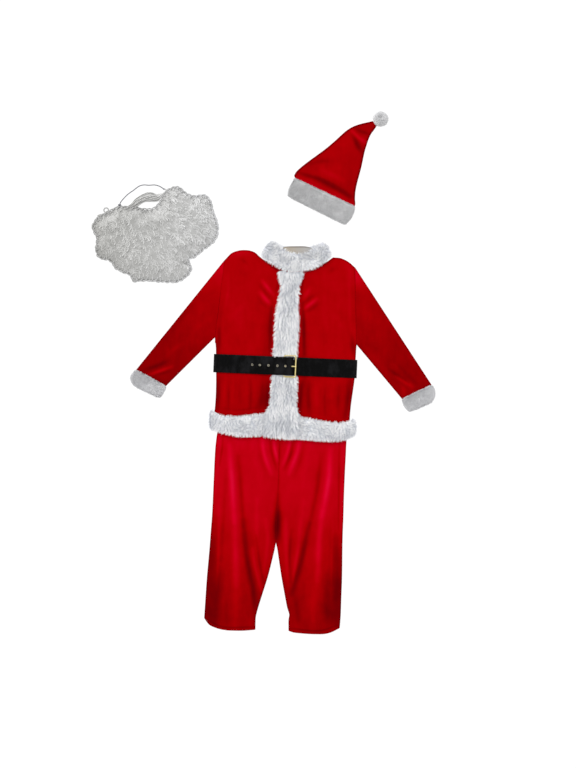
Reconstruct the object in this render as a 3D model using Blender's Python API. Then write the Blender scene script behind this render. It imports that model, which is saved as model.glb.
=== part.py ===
"""A Santa suit laid flat on the floor: jacket, trousers, belt, hat and beard.

Metres, +Z up. The suit's own up is +Y and its front looks up. Every piece is drawn in one layout plan,
whose zero is the middle of the whole set, and each layer lies on the one below it.
"""

import math
from collections import namedtuple

import bmesh
import bpy
import numpy as np
from mathutils import Matrix, Vector
from mathutils.geometry import delaunay_2d_cdt

# Cloth and gaps
VELOUR = 0.0015  # the red cloth's wall
PLUSH = 0.0070  # the white trim's wall, backing and pile
VINYL = 0.0020  # the belt's strap
SEAM = 0.0005  # between pieces sewn edge to edge
LAYER = 0.0004  # between layers that lie on each other
BODY_PUFF = 0.0022  # the most that the jacket's front stands off its back
LEG_PUFF = 0.0026  # the same for the trousers
TUBE_EDGE = 0.0056  # height of a sleeve's or the hat's folded edge
EDGE_FADE = 0.035  # a front panel comes down to the seam over this width

# What the jacket's back lies on
WAIST_LIFT = 0.0070  # over the trousers' waist
WAIST_FADE = (-0.045, -0.112)  # y where that lift starts and is full
BELT_LIFT = VINYL + LAYER  # over the belt's back run
BELT_WIDTH = 0.077
BELT_MID_Y = 0.0300  # the belt's middle at the buckle
BELT_SLOPE = -0.042  # it slants down towards +X
BUCKLE_X = 0.1120

# The jacket, seen from its front
NECK_X = 0.137
FRONT_SPLIT_X = 0.085
ARMHOLE_R = ((-0.162, 0.476), (-0.203, 0.151))
ARMHOLE_L = ((0.385, 0.445), (0.392, 0.130))
SHOULDER_R = ((-0.016, 0.491), (-0.035, 0.508), (-0.062, 0.517), (-0.098, 0.517), (-0.130, 0.507), (-0.162, 0.476))
SHOULDER_L = ((0.385, 0.445), (0.357, 0.469), (0.325, 0.484), (0.293, 0.487))
SIDE_R = ((-0.203, 0.151), (-0.199, 0.110), (-0.198, 0.040), (-0.198, -0.049), (-0.200, -0.110), (-0.204, -0.160))
SIDE_L = ((0.362, -0.200), (0.368, -0.133), (0.377, -0.070), (0.385, -0.010), (0.388, 0.060), (0.392, 0.130))
FRONT_NECK = (
    (0.293, 0.487), (0.270, 0.470), (0.249, 0.455), (0.207, 0.434), (0.164, 0.427), (0.110, 0.426),
    (0.060, 0.436), (0.038, 0.449), (0.014, 0.467), (-0.016, 0.491),
)
BACK_NECK = ((0.293, 0.487), (0.250, 0.463), (0.190, 0.452), (0.137, 0.450), (0.080, 0.452), (0.030, 0.464), (-0.016, 0.491))
HEM_SEAM = (
    (-0.204, -0.160), (-0.180, -0.174), (-0.132, -0.180), (-0.062, -0.176), (0.018, -0.168), (0.085, -0.176),
    (0.146, -0.185), (0.203, -0.190), (0.270, -0.203), (0.330, -0.206), (0.362, -0.200),
)

# White trim
PLACKET_EDGES = (  # y, right edge, left edge, by the wearer's sides
    (0.428, 0.062, 0.165), (0.392, 0.064, 0.165), (0.363, 0.070, 0.161), (0.329, 0.062, 0.158), (0.300, 0.051, 0.156),
    (0.258, 0.043, 0.159), (0.216, 0.039, 0.161), (0.161, 0.035, 0.160), (0.098, 0.031, 0.155), (0.035, 0.025, 0.155),
    (-0.036, 0.019, 0.160), (-0.078, 0.017, 0.159), (-0.120, 0.011, 0.158), (-0.160, 0.004, 0.153),
    (-0.217, 0.003, 0.150), (-0.262, 0.003, 0.150),
)
PLACKET_HEM = ((0.003, -0.262), (0.045, -0.267), (0.100, -0.271), (0.150, -0.271))
PLACKET_PILE = 0.0085
PLACKET_RIM = 0.0030
PLACKET_UNDER_BELT = 0.0045
BAND_BOTTOM = (
    (-0.212, -0.236), (-0.188, -0.244), (-0.137, -0.256), (-0.100, -0.263), (-0.038, -0.257), (0.002, -0.259),
    (0.085, -0.269), (0.150, -0.272), (0.215, -0.277), (0.265, -0.282), (0.311, -0.282), (0.350, -0.275), (0.378, -0.262),
)
BAND_TOP_ENDS = (((-0.214, -0.150), (-0.2075, -0.160)), ((0.367, -0.2035), (0.376, -0.186)))  # it rises past the seam
BAND_DROOP = ((-0.190, -0.2140), (0.3500, 0.3770))  # x where each end starts to sink and lies on the floor
BAND_FRONT_Z = 0.0136  # its front layer's underside, over the trousers

# Collar: rows from the right fold to the left one; foot and top of the stand
CollarRow = namedtuple("CollarRow", "foot_x foot_y top_x top_y")
COLLAR_FRONT = (
    CollarRow(-0.002, 0.492, 0.045, 0.556), CollarRow(0.018, 0.473, 0.058, 0.543), CollarRow(0.049, 0.454, 0.079, 0.527),
    CollarRow(0.085, 0.436, 0.102, 0.511), CollarRow(0.125, 0.431, 0.130, 0.502), CollarRow(0.164, 0.433, 0.159, 0.500),
    CollarRow(0.206, 0.440, 0.186, 0.507), CollarRow(0.246, 0.460, 0.216, 0.529), CollarRow(0.277, 0.488, 0.245, 0.550),
)
COLLAR_BACK = (
    CollarRow(-0.002, 0.492, 0.045, 0.556), CollarRow(0.030, 0.470, 0.066, 0.540), CollarRow(0.080, 0.458, 0.096, 0.532),
    CollarRow(0.137, 0.456, 0.137, 0.531), CollarRow(0.190, 0.458, 0.188, 0.531), CollarRow(0.248, 0.469, 0.222, 0.539),
    CollarRow(0.277, 0.488, 0.245, 0.550),
)
COLLAR_BULGE = 0.011  # the folds bow outwards between foot and top

# Sleeves and cuffs, as shoulder, wrist outside, wrist inside, underarm
SLEEVE_R = ((-0.163, 0.475), (-0.532, 0.017), (-0.408, -0.053), (-0.204, 0.150))
SLEEVE_L = ((0.386, 0.444), (0.706, -0.047), (0.582, -0.107), (0.3928, 0.119))
CuffRow = namedtuple("CuffRow", "outer_x outer_y inner_x inner_y")
CUFF_R = (
    CuffRow(-0.536, 0.016, -0.407, -0.055), CuffRow(-0.549, 0.002, -0.410, -0.064), CuffRow(-0.559, -0.017, -0.418, -0.080),
    CuffRow(-0.553, -0.036, -0.427, -0.094), CuffRow(-0.541, -0.052, -0.436, -0.103),
)
CUFF_L = (
    CuffRow(0.7085, -0.0485, 0.5805, -0.1090), CuffRow(0.717, -0.062, 0.584, -0.120), CuffRow(0.722, -0.084, 0.591, -0.136),
    CuffRow(0.718, -0.104, 0.601, -0.150), CuffRow(0.705, -0.122, 0.614, -0.161),
)

# Trousers
TROUSER_TOP = -0.169
WAISTBAND = (-0.158, 0.298, 0.041)  # right end, left end, height
WAISTBAND_WALL = 0.0020
CENTRE_SEAM = ((0.070, -0.169), (0.070, -0.267), (0.066, -0.393), (0.060, -0.532), (0.055, -0.637), (0.053, -0.705))
LEG_R_OUTER = (
    (-0.156, -0.169), (-0.178, -0.205), (-0.192, -0.246), (-0.200, -0.300), (-0.204, -0.360), (-0.208, -0.448), (-0.214, -0.582),
    (-0.219, -0.649), (-0.226, -0.740), (-0.236, -0.851), (-0.242, -0.935), (-0.248, -1.027),
)
LEG_R_HEM = ((-0.248, -1.027), (-0.228, -1.053), (-0.194, -1.069), (-0.156, -1.077), (-0.089, -1.079), (-0.033, -1.075))
LEG_R_INNER = (
    (-0.033, -1.075), (-0.031, -1.021), (-0.022, -0.985), (-0.001, -0.918), (0.020, -0.851), (0.037, -0.784),
    (0.048, -0.737), (0.053, -0.705),
)
LEG_L_INNER = (
    (0.053, -0.705), (0.059, -0.737), (0.066, -0.784), (0.076, -0.851), (0.088, -0.918), (0.101, -0.985), (0.109, -1.012),
    (0.106, -1.036), (0.106, -1.080),
)
LEG_L_HEM = ((0.106, -1.080), (0.129, -1.087), (0.196, -1.093), (0.255, -1.093), (0.285, -1.086), (0.321, -1.068))
LEG_L_OUTER = (
    (0.321, -1.068), (0.325, -1.019), (0.328, -0.935), (0.331, -0.850), (0.333, -0.700), (0.336, -0.616), (0.339, -0.515),
    (0.343, -0.414), (0.348, -0.313), (0.348, -0.255), (0.330, -0.210), (0.297, -0.169),
)

# Hat: pairs along the cone from the trim to the tip, upper edge and lower edge
ConeRow = namedtuple("ConeRow", "upper_x upper_y lower_x lower_y")
HAT_CONE = (
    ConeRow(0.133, 0.8215, 0.384, 0.7025), ConeRow(0.130, 0.8335, 0.387, 0.7155), ConeRow(0.146, 0.8545, 0.385, 0.7445),
    ConeRow(0.177, 0.8805, 0.391, 0.7855), ConeRow(0.219, 0.9115, 0.400, 0.8215), ConeRow(0.261, 0.9425, 0.411, 0.8625),
    ConeRow(0.299, 0.9745, 0.420, 0.9045), ConeRow(0.331, 1.0035, 0.428, 0.9395), ConeRow(0.360, 1.0275, 0.439, 0.9735),
    ConeRow(0.395, 1.0435, 0.449, 0.9995), ConeRow(0.429, 1.0525, 0.464, 1.0205), ConeRow(0.459, 1.0595, 0.477, 1.0405),
)
HAT_TRIM = (
    ConeRow(0.130, 0.821, 0.3865, 0.6998), ConeRow(0.117, 0.795, 0.380, 0.673), ConeRow(0.106, 0.768, 0.365, 0.645),
    ConeRow(0.1025, 0.7445, 0.3445, 0.6235),
)
HAT_TRIM_WALL = 0.0060
POMPOM = (0.492, 1.066)
POMPOM_RADIUS = 0.0285
POMPOM_REST = 0.0250  # its middle above the floor, where it is pressed flat

# Beard: outline round the mouth from the wearer's right, and the moustache over it
BEARD_TOP = (
    (-0.695, 0.655), (-0.655, 0.676), (-0.612, 0.696), (-0.570, 0.699), (-0.529, 0.6935), (-0.482, 0.6885), (-0.458, 0.693), (-0.440, 0.709),
    (-0.425, 0.735), (-0.405, 0.768), (-0.360, 0.784), (-0.324, 0.756), (-0.290, 0.744), (-0.243, 0.748), (-0.221, 0.722),
)
BEARD_REST = (
    (-0.221, 0.722), (-0.209, 0.672), (-0.193, 0.629), (-0.193, 0.585), (-0.210, 0.552), (-0.259, 0.513), (-0.292, 0.487),
    (-0.316, 0.478), (-0.302, 0.440), (-0.322, 0.408), (-0.362, 0.385), (-0.430, 0.386), (-0.492, 0.392), (-0.545, 0.388),
    (-0.556, 0.412), (-0.617, 0.440), (-0.640, 0.473), (-0.688, 0.487), (-0.702, 0.520), (-0.697, 0.570), (-0.717, 0.615), (-0.695, 0.655),
)
BEARD_LOCKS = 30  # scallops of its edge
BEARD_LOCK_DEPTH = 0.0050
BEARD_HEIGHT = 0.0240
BEARD_RIM = 0.0080
MoustacheRow = namedtuple("MoustacheRow", "upper_x upper_y lower_x lower_y")
MOUSTACHE = (
    MoustacheRow(-0.572, 0.7020, -0.5310, 0.6970), MoustacheRow(-0.557, 0.7130, -0.5200, 0.7040),
    MoustacheRow(-0.541, 0.7300, -0.5080, 0.7125), MoustacheRow(-0.516, 0.7480, -0.4920, 0.7195),
    MoustacheRow(-0.498, 0.7570, -0.4780, 0.7205), MoustacheRow(-0.480, 0.7640, -0.4640, 0.7200),
    MoustacheRow(-0.464, 0.7610, -0.4500, 0.7200), MoustacheRow(-0.446, 0.7530, -0.4370, 0.7240),
    MoustacheRow(-0.416, 0.7600, -0.4325, 0.7290),
)
MOUSTACHE_HEIGHT = 0.0160
ELASTIC = (
    (-0.6030, 0.7055, 0.0060), (-0.6010, 0.7140, 0.0035), (-0.5930, 0.7270, 0.0013), (-0.5690, 0.7520, 0.0013), (-0.5450, 0.7690, 0.0013),
    (-0.5240, 0.7850, 0.0013), (-0.5040, 0.7915, 0.0013), (-0.4800, 0.7905, 0.0013), (-0.4560, 0.7915, 0.0013), (-0.4380, 0.7870, 0.0015),
    (-0.4220, 0.7775, 0.0040), (-0.4155, 0.7710, 0.0065),
)
ELASTIC_RADIUS = 0.0012

# Folds: a soft ridge from one point to another, with its half width and height
Fold = namedtuple("Fold", "x0 y0 x1 y1 width height")
JACKET_FOLDS = (
    Fold(-0.022, 0.388, 0.034, 0.340, 0.010, 0.0050),
    Fold(-0.030, 0.338, 0.022, 0.288, 0.010, 0.0045),
    Fold(0.232, 0.312, 0.178, 0.286, 0.011, 0.0048),
    Fold(0.200, 0.350, 0.180, 0.322, 0.010, 0.0030),
    Fold(-0.118, 0.470, -0.150, 0.330, 0.017, 0.0028),
    Fold(0.330, 0.440, 0.352, 0.300, 0.017, 0.0028),
    Fold(-0.180, 0.180, -0.110, 0.245, 0.014, 0.0028),
    Fold(0.365, 0.165, 0.300, 0.225, 0.014, 0.0028),
    Fold(0.262, 0.185, 0.258, 0.110, 0.012, 0.0022),
    Fold(-0.120, -0.035, -0.135, -0.140, 0.013, 0.0024),
    Fold(-0.062, -0.030, -0.058, -0.150, 0.012, 0.0024),
    Fold(-0.010, -0.045, -0.020, -0.140, 0.010, 0.0020),
    Fold(0.200, -0.045, 0.205, -0.160, 0.012, 0.0020),
    Fold(0.262, -0.050, 0.268, -0.170, 0.013, 0.0024),
    Fold(0.325, -0.055, 0.320, -0.175, 0.012, 0.0020),
)
TROUSER_FOLDS = (
    Fold(0.028, -0.275, 0.060, -0.392, 0.010, 0.0030),
    Fold(0.062, -0.275, 0.063, -0.380, 0.008, 0.0020),
    Fold(0.100, -0.275, 0.076, -0.395, 0.010, 0.0030),
    Fold(0.140, -0.275, 0.090, -0.430, 0.012, 0.0030),
    Fold(-0.010, -0.275, 0.040, -0.450, 0.013, 0.0028),
    Fold(-0.160, -0.300, -0.175, -0.690, 0.026, 0.0042),
    Fold(-0.172, -0.640, -0.140, -1.000, 0.028, 0.0040),
    Fold(-0.075, -0.330, -0.060, -0.720, 0.026, 0.0026),
    Fold(0.020, -0.560, -0.060, -0.930, 0.022, 0.0036),
    Fold(0.305, -0.300, 0.290, -0.640, 0.026, 0.0042),
    Fold(0.285, -0.600, 0.232, -0.960, 0.028, 0.0042),
    Fold(0.190, -0.330, 0.185, -0.640, 0.026, 0.0026),
    Fold(0.085, -0.560, 0.160, -0.930, 0.022, 0.0036),
)
SLEEVE_FOLDS = (
    Fold(-0.474, 0.006, -0.372, 0.040, 0.012, 0.0034),
    Fold(-0.500, 0.030, -0.400, 0.110, 0.014, 0.0022),
    Fold(-0.235, 0.175, -0.260, 0.260, 0.016, 0.0024),
    Fold(0.640, -0.052, 0.540, -0.008, 0.012, 0.0034),
    Fold(0.672, -0.030, 0.590, 0.070, 0.014, 0.0022),
    Fold(0.425, 0.150, 0.440, 0.240, 0.016, 0.0024),
)
HAT_FOLDS = (
    Fold(0.352, 1.005, 0.432, 0.962, 0.010, 0.0045),
    Fold(0.345, 0.975, 0.418, 0.905, 0.014, 0.0026),
    Fold(0.170, 0.820, 0.355, 0.742, 0.012, 0.0030),
    Fold(0.245, 0.900, 0.360, 0.800, 0.018, 0.0018),
)

# The belt, in its own plan: X along it from the buckle's middle. The strap's rows are its wall's middle, x and z
STRAP_FIXED = ((-0.0455, 0.0158), (-0.0390, 0.0174), (-0.0310, 0.0188))
STRAP_RIGHT = (
    (-0.036, 0.0126), (-0.077, 0.0126), (-0.092, 0.0110), (-0.112, 0.0094), (-0.162, 0.0079), (-0.232, 0.0074), (-0.304, 0.0073),
)
STRAP_SIDES = (-0.3138, 0.2779)
STRAP_LEFT = (
    (0.258, 0.0073), (0.198, 0.0074), (0.138, 0.0079), (0.093, 0.0091), (0.066, 0.0110), (0.048, 0.0126), (0.034, 0.0126),
)
STRAP_DIVE = ((0.0225, 0.0126), (0.0185, 0.0137), (0.0145, 0.0162), (0.0103, 0.0195), (0.0062, 0.0217), (0.0010, 0.0226))
STRAP_HUMP = ((-0.0060, 0.0227), (-0.0198, 0.0224), (-0.0340, 0.0212), (-0.0440, 0.0192), (-0.0540, 0.0170), (-0.0640, 0.0156))
STRAP_TIP = ((-0.2970, 0.0098), (-0.3205, 0.0096))
BAR = 0.0020  # radius of the buckle's wire
BUCKLE_HALF = (0.0238, 0.0445)  # half width and half height, to the wire's middle
BUCKLE_CORNER = 0.005
BUCKLE_Z = 0.0159
PRONG = (0.0044, 0.0020)  # width, thickness
PRONG_HOLE_X = 0.0108
EYELET_X = (-0.019, -0.052, -0.090, -0.126, -0.158)
EYELET = (0.0050, 0.0026, 0.0010)  # outer radius, hole radius, thickness

def clear_scene():
    for obj in list(bpy.data.objects):
        bpy.data.objects.remove(obj, do_unlink=True)


def material(name, colour, roughness, metallic=0.0):
    made = bpy.data.materials.new(name)
    made.use_nodes = True
    shader = made.node_tree.nodes["Principled BSDF"]
    shader.inputs["Base Color"].default_value = (*colour, 1.0)
    shader.inputs["Roughness"].default_value = roughness
    shader.inputs["Metallic"].default_value = metallic
    made.diffuse_color = (*colour, 1.0)
    return made


def smoothstep(low, high, value):
    t = np.clip((value - low) / (high - low), 0.0, 1.0)
    return t * t * (3.0 - 2.0 * t)


def smooth_line(points, step):
    """Points about every step along a smooth line through the given ones."""
    points = np.array(points, float)
    knots = np.vstack([2 * points[0] - points[1], points, 2 * points[-1] - points[-2]])
    found = []
    for a, b, c, d in zip(knots, knots[1:], knots[2:], knots[3:]):
        count = max(1, round(float(np.linalg.norm(c - b)) / step))
        for t in np.arange(count) / count:
            cubic = (3 * b - a - 3 * c + d) * t**3
            found.append(0.5 * (2 * b + (c - a) * t + (2 * a - 5 * b + 4 * c - d) * t**2 + cubic))
    found.append(points[-1])
    return np.array(found)


def along(rows, places):
    """Rows of a table read smoothly at places from 0, the first row, to 1, the last."""
    rows = np.array(rows, float)
    dense = smooth_line(np.column_stack([np.linspace(0, 1, len(rows)), rows]), 1.0 / 200)
    return np.column_stack([np.interp(places, dense[:, 0], dense[:, k]) for k in range(1, dense.shape[1])])


def area_of(outline):
    x, y = outline[:, 0], outline[:, 1]
    return 0.5 * float(np.sum(x * np.roll(y, -1) - np.roll(x, -1) * y))


def outline_of(edges, step):
    """A closed outline from smooth edges that meet at corners, turning left."""
    points = np.vstack([smooth_line(edge, step)[:-1] for edge in edges])
    return points if area_of(points) > 0 else points[::-1]


def inside(points, outline):
    x, y = points[:, 0][:, None], points[:, 1][:, None]
    x0, y0 = outline[:, 0], outline[:, 1]
    x1, y1 = np.roll(x0, -1), np.roll(y0, -1)
    crosses = (y0 > y) != (y1 > y)
    where = x0 + (y - y0) * (x1 - x0) / np.where(y1 == y0, 1e-12, y1 - y0)
    return (np.sum(crosses & (x < where), axis=1) % 2) == 1


def distance_to(points, line):
    """Distance in plan from each point to a line of points."""
    a, b = line[:-1], line[1:]
    d = b - a
    t = ((points[:, None, :] - a) * d).sum(2) / np.maximum((d * d).sum(1), 1e-12)
    near = a + np.clip(t, 0, 1)[..., None] * d
    return np.sqrt(((points[:, None, :] - near) ** 2).sum(2).min(1))


def fold_height(points, folds):
    """The height of soft ridges over each point; a ridge fades out towards both ends."""
    total = np.zeros(len(points))
    for fold in folds:
        a, b = np.array((fold.x0, fold.y0)), np.array((fold.x1, fold.y1))
        d = b - a
        t = np.clip(((points - a) @ d) / (d @ d), 0, 1)
        away = np.linalg.norm(points - (a + t[:, None] * d), axis=1)
        ends = np.clip(np.sin(np.pi * (0.06 + 0.88 * t)), 0, 1) ** 0.6
        total += fold.height * ends * np.exp(-((away / fold.width) ** 2))
    return total


def cut_cloth(outline, spacing):
    """Triangles that fill an outline, with staggered points inside it. spacing is (across, along).

    Rows of one spacing have the same places in every outline, so that layers that lie on each other match."""
    scale = np.array(spacing)
    edge = outline / scale
    low, high = edge.min(0), edge.max(0)
    grid = []
    pitch = 0.87
    for row in range(math.floor(low[1] / pitch), math.ceil(high[1] / pitch) + 1):
        us = np.arange(math.floor(low[0]) + (0.5 if row % 2 else 0.0), high[0], 1.0)
        grid.append(np.column_stack([us, np.full(len(us), row * pitch)]))
    grid = np.vstack(grid)
    closed = np.vstack([edge, edge[:1]])
    grid = grid[inside(grid, edge) & (distance_to(grid, closed) > 0.55)]
    count = len(edge)
    corners = [Vector(p) for p in np.vstack([edge, grid])]
    rim = [(i, (i + 1) % count) for i in range(count)]
    points, _, faces, *_ = delaunay_2d_cdt(corners, rim, [], 1, 1e-5)
    return np.array([p[:] for p in points]) * scale, [tuple(f) for f in faces]


def add_object(name, points, faces, finish, smooth=True):
    mesh = bpy.data.meshes.new(name)
    mesh.from_pydata([tuple(map(float, p)) for p in points], [], faces)
    mesh.validate()
    mesh.materials.append(finish)
    if smooth:
        mesh.shade_smooth()
        mesh.set_sharp_from_angle(angle=math.radians(50))
    obj = bpy.data.objects.new(name, mesh)
    bpy.context.scene.collection.objects.link(obj)
    return obj


def panel(name, outline, spacing, lower, upper, finish):
    """A wall over a cut outline, between two height functions of the plan."""
    flat, triangles = cut_cloth(outline, spacing)
    count = len(flat)
    points = np.vstack([np.column_stack([flat, lower(flat)]), np.column_stack([flat, upper(flat)])])
    used = {}
    for a, b, c in triangles:
        for edge in ((a, b), (b, c), (c, a)):
            used[edge] = edge
    rim = [e for e in used if (e[1], e[0]) not in used]
    faces = [(c, b, a) for a, b, c in triangles]
    faces += [(a + count, b + count, c + count) for a, b, c in triangles]
    faces += [(a, b, b + count, a + count) for a, b in rim]
    return add_object(name, points, faces, finish)


def ring_wall(name, outer, inner, finish, closed_ring=True, closed_run=False):
    """A wall between two grids of points, each [run][ring]."""
    runs, ring = outer.shape[:2]
    points = np.vstack([outer.reshape(-1, 3), inner.reshape(-1, 3)])

    def at(side, i, j):
        return side * runs * ring + (i % runs) * ring + (j % ring)

    faces = []
    ring_steps = ring if closed_ring else ring - 1
    run_steps = runs if closed_run else runs - 1
    for i in range(run_steps):
        for j in range(ring_steps):
            faces.append((at(0, i, j), at(0, i, j + 1), at(0, i + 1, j + 1), at(0, i + 1, j)))
            faces.append((at(1, i, j), at(1, i + 1, j), at(1, i + 1, j + 1), at(1, i, j + 1)))
    if not closed_run:
        for i, order in ((0, 1), (runs - 1, -1)):
            for j in range(ring_steps):
                faces.append((at(0, i, j), at(1, i, j), at(1, i, j + 1), at(0, i, j + 1))[::order])
    if not closed_ring:
        for j, order in ((0, -1), (ring - 1, 1)):
            for i in range(run_steps):
                faces.append((at(0, i, j), at(1, i, j), at(1, i + 1, j), at(0, i + 1, j))[::order])
    obj = add_object(name, points, faces, finish)
    face_out(obj)
    return obj


def face_out(obj):
    """Turns every face outwards."""
    work = bmesh.new()
    work.from_mesh(obj.data)
    bmesh.ops.recalc_face_normals(work, faces=work.faces)
    if work.calc_volume(signed=True) < 0:
        bmesh.ops.reverse_faces(work, faces=work.faces)
    work.to_mesh(obj.data)
    work.free()


def flat_tube(name, pairs, wall, height, finish, folds=(), puff=0.0, across=(5, 3, 11)):
    """A tube of cloth pressed flat on the floor. pairs are the plan points of its two folded edges, one row a section.

    across counts the points of its underside, of each rounded edge and of its upper side."""
    pairs = np.array(pairs, float)
    radius = height / 2
    outer, inner = [], []
    for row in pairs:
        left, right = row[:2], row[2:]
        middle, half = (left + right) / 2, (right - left) / 2
        width = float(np.linalg.norm(half))
        line = half / width
        core = width - radius
        under = np.linspace(-core, core, across[0])
        over = core * np.sin(np.linspace(math.pi / 2, -math.pi / 2, across[2]))
        turn = np.radians(np.linspace(-90, 90, across[1] + 2)[1:-1])

        def place(a, z):
            flat = middle + a[:, None] * line
            return np.column_stack([flat, z])

        over_flat = middle + over[:, None] * line
        fade = smoothstep(0.0, 0.7 * EDGE_FADE, core - np.abs(over))
        lift = (puff + fold_height(over_flat, folds)) * fade
        for shell, cut in ((outer, 0.0), (inner, wall)):
            r = radius - cut
            section = [
                place(under, np.full(len(under), cut)),
                place(core + r * np.cos(turn), radius + r * np.sin(turn)),
                place(over, height - cut + lift),
                place(-core - r * np.cos(turn), radius - r * np.sin(turn)),
            ]
            shell.append(np.vstack(section))
    return ring_wall(name, np.array(outer), np.array(inner), finish)


# ---- What lies under what ----


def belt_middle(x):
    return BELT_MID_Y + BELT_SLOPE * (x - BUCKLE_X)


def from_belt(points):
    return np.abs(points[:, 1] - belt_middle(points[:, 0]))


def rest_height(points):
    """The surface that the jacket's back lies on: the floor, the trousers' waist and the belt's back run."""
    waist = WAIST_LIFT * smoothstep(WAIST_FADE[0], WAIST_FADE[1], points[:, 1])
    belt = BELT_LIFT * (1 - smoothstep(BELT_WIDTH / 2 + 0.008, BELT_WIDTH / 2 + 0.034, from_belt(points)))
    return np.maximum(waist, belt)


def jacket_front_under(points):
    closed = [smooth_line(edge, 0.02) for edge in (SHOULDER_R, SIDE_R, SIDE_L, SHOULDER_L)]
    fade = smoothstep(0.0, EDGE_FADE, np.min([distance_to(points, line) for line in closed], axis=0))
    press = smoothstep(BELT_WIDTH / 2 + 0.004, BELT_WIDTH / 2 + 0.045, from_belt(points))
    lift = (BODY_PUFF + fold_height(points, JACKET_FOLDS)) * fade * press
    return rest_height(points) + VELOUR + LAYER + lift


def trouser_sides(step):
    """The trousers' closed edges: both outer sides, and the inner sides from hem to hem."""
    inner = np.vstack([smooth_line(LEG_R_INNER, step)[:-1], smooth_line(LEG_L_INNER, step)])
    return smooth_line(LEG_R_OUTER, step), inner, smooth_line(LEG_L_OUTER, step)


def trouser_front_under(points):
    near = np.min([distance_to(points, line) for line in trouser_sides(0.03)], axis=0)
    fade = smoothstep(0.0, EDGE_FADE, near)
    seam = np.exp(-((distance_to(points, smooth_line(CENTRE_SEAM, 0.03)) / 0.007) ** 2))
    below_jacket = smoothstep(-0.262, -0.330, points[:, 1])
    puff = LEG_PUFF * (0.35 + 0.65 * below_jacket)
    folds = fold_height(points, TROUSER_FOLDS) * (0.15 + 0.85 * below_jacket)
    return VELOUR + LAYER + (puff + folds) * fade * (1 - 0.75 * seam)


# ---- Pieces ----


def make_trousers(velour):
    step = 0.030
    seam_r = [(x - SEAM / 2, y) for x, y in CENTRE_SEAM]
    seam_l = [(x + SEAM / 2, y) for x, y in CENTRE_SEAM]
    inner_r = [*LEG_R_INNER[:-1], seam_r[-1]]
    inner_l = [seam_l[-1], *LEG_L_INNER[1:]]
    waist_r = (LEG_R_OUTER[0], seam_r[0])
    waist_l = (seam_l[0], LEG_L_OUTER[-1])
    legs = {
        "right": outline_of((waist_r[::-1], LEG_R_OUTER, LEG_R_HEM, inner_r, seam_r[::-1]), step),
        "left": outline_of((waist_l[::-1], seam_l, inner_l, LEG_L_HEM, LEG_L_OUTER), step),
    }
    made = []
    for side, outline in legs.items():
        made.append(
            panel(
                f"trouser_back_{side}",
                outline,
                (0.100, 0.110),
                lambda p: np.zeros(len(p)),
                lambda p: np.full(len(p), VELOUR),
                velour,
            )
        )
        made.append(
            panel(
                f"trouser_front_{side}",
                outline,
                (0.0240, 0.056),
                trouser_front_under,
                lambda p: trouser_front_under(p) + VELOUR,
                velour,
            )
        )
    right, left, height = WAISTBAND
    top, foot = TROUSER_TOP + height, TROUSER_TOP + SEAM
    pairs = [(left, y, right, y) for y in (top, (top + foot) / 2, foot)]
    made.append(flat_tube("trouser_waistband", pairs, WAISTBAND_WALL, 0.0048, velour, across=(4, 3, 9)))
    return made


def make_jacket_body(velour):
    step = 0.026
    split = FRONT_SPLIT_X
    neck = smooth_line(FRONT_NECK, 0.004)
    hem = smooth_line(HEM_SEAM, 0.004)
    neck_y = float(np.interp(split, neck[::-1, 0], neck[::-1, 1]))
    hem_y = float(np.interp(split, hem[:, 0], hem[:, 1]))
    right_x, left_x = split - SEAM / 2, split + SEAM / 2
    neck_r = [(right_x, neck_y), *[p for p in FRONT_NECK if p[0] < split - 0.01]]
    neck_l = [*[p for p in FRONT_NECK if p[0] > split + 0.01], (left_x, neck_y)]
    hem_r = [*[p for p in HEM_SEAM if p[0] < split - 0.01], (right_x, hem_y)]
    hem_l = [(left_x, hem_y), *[p for p in HEM_SEAM if p[0] > split + 0.01]]
    centre_r = ((right_x, hem_y), (right_x, neck_y))
    centre_l = ((left_x, neck_y), (left_x, hem_y))
    outlines = {
        "jacket_front_right": outline_of((neck_r, SHOULDER_R, ARMHOLE_R, SIDE_R, hem_r, centre_r), step),
        "jacket_front_left": outline_of((neck_l, centre_l, hem_l, SIDE_L, ARMHOLE_L[::-1], SHOULDER_L), step),
    }
    made = [
        panel(name, outline, (0.0290, 0.0320), jacket_front_under, lambda p: jacket_front_under(p) + VELOUR, velour)
        for name, outline in outlines.items()
    ]
    edges = (BACK_NECK, SHOULDER_R, ARMHOLE_R, SIDE_R, HEM_SEAM, SIDE_L, ARMHOLE_L[::-1], SHOULDER_L)
    back = outline_of(edges, step)
    made.append(
        panel("jacket_back", back, (0.100, 0.032), rest_height, lambda p: rest_height(p) + VELOUR, velour)
    )
    return made


def make_sleeves(velour, plush):
    made = []
    for side, corners in (("right", SLEEVE_R), ("left", SLEEVE_L)):
        shoulder, wrist_out, wrist_in, underarm = map(np.array, corners)
        out = wrist_out - shoulder
        down = wrist_in - underarm
        shift = SEAM * np.array((-1.0 if side == "right" else 1.0, 0.0))
        pairs = [
            (*(shoulder + out * t + shift), *(underarm + down * t + shift))
            for t in np.linspace(0, 1, 11)
        ]
        if side == "right":
            pairs = [(*p[2:], *p[:2]) for p in pairs]
        made.append(
            flat_tube(f"sleeve_{side}", pairs, VELOUR, TUBE_EDGE, velour, SLEEVE_FOLDS, 0.0008, across=(4, 3, 11))
        )
    for side, rows in (("right", CUFF_R), ("left", CUFF_L)):
        rows = along(rows, np.linspace(0, 1, 7))
        made.append(flat_tube(f"cuff_{side}", rows, PLUSH, 2 * PLUSH + 0.001, plush, across=(4, 3, 9)))
    return made


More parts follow.
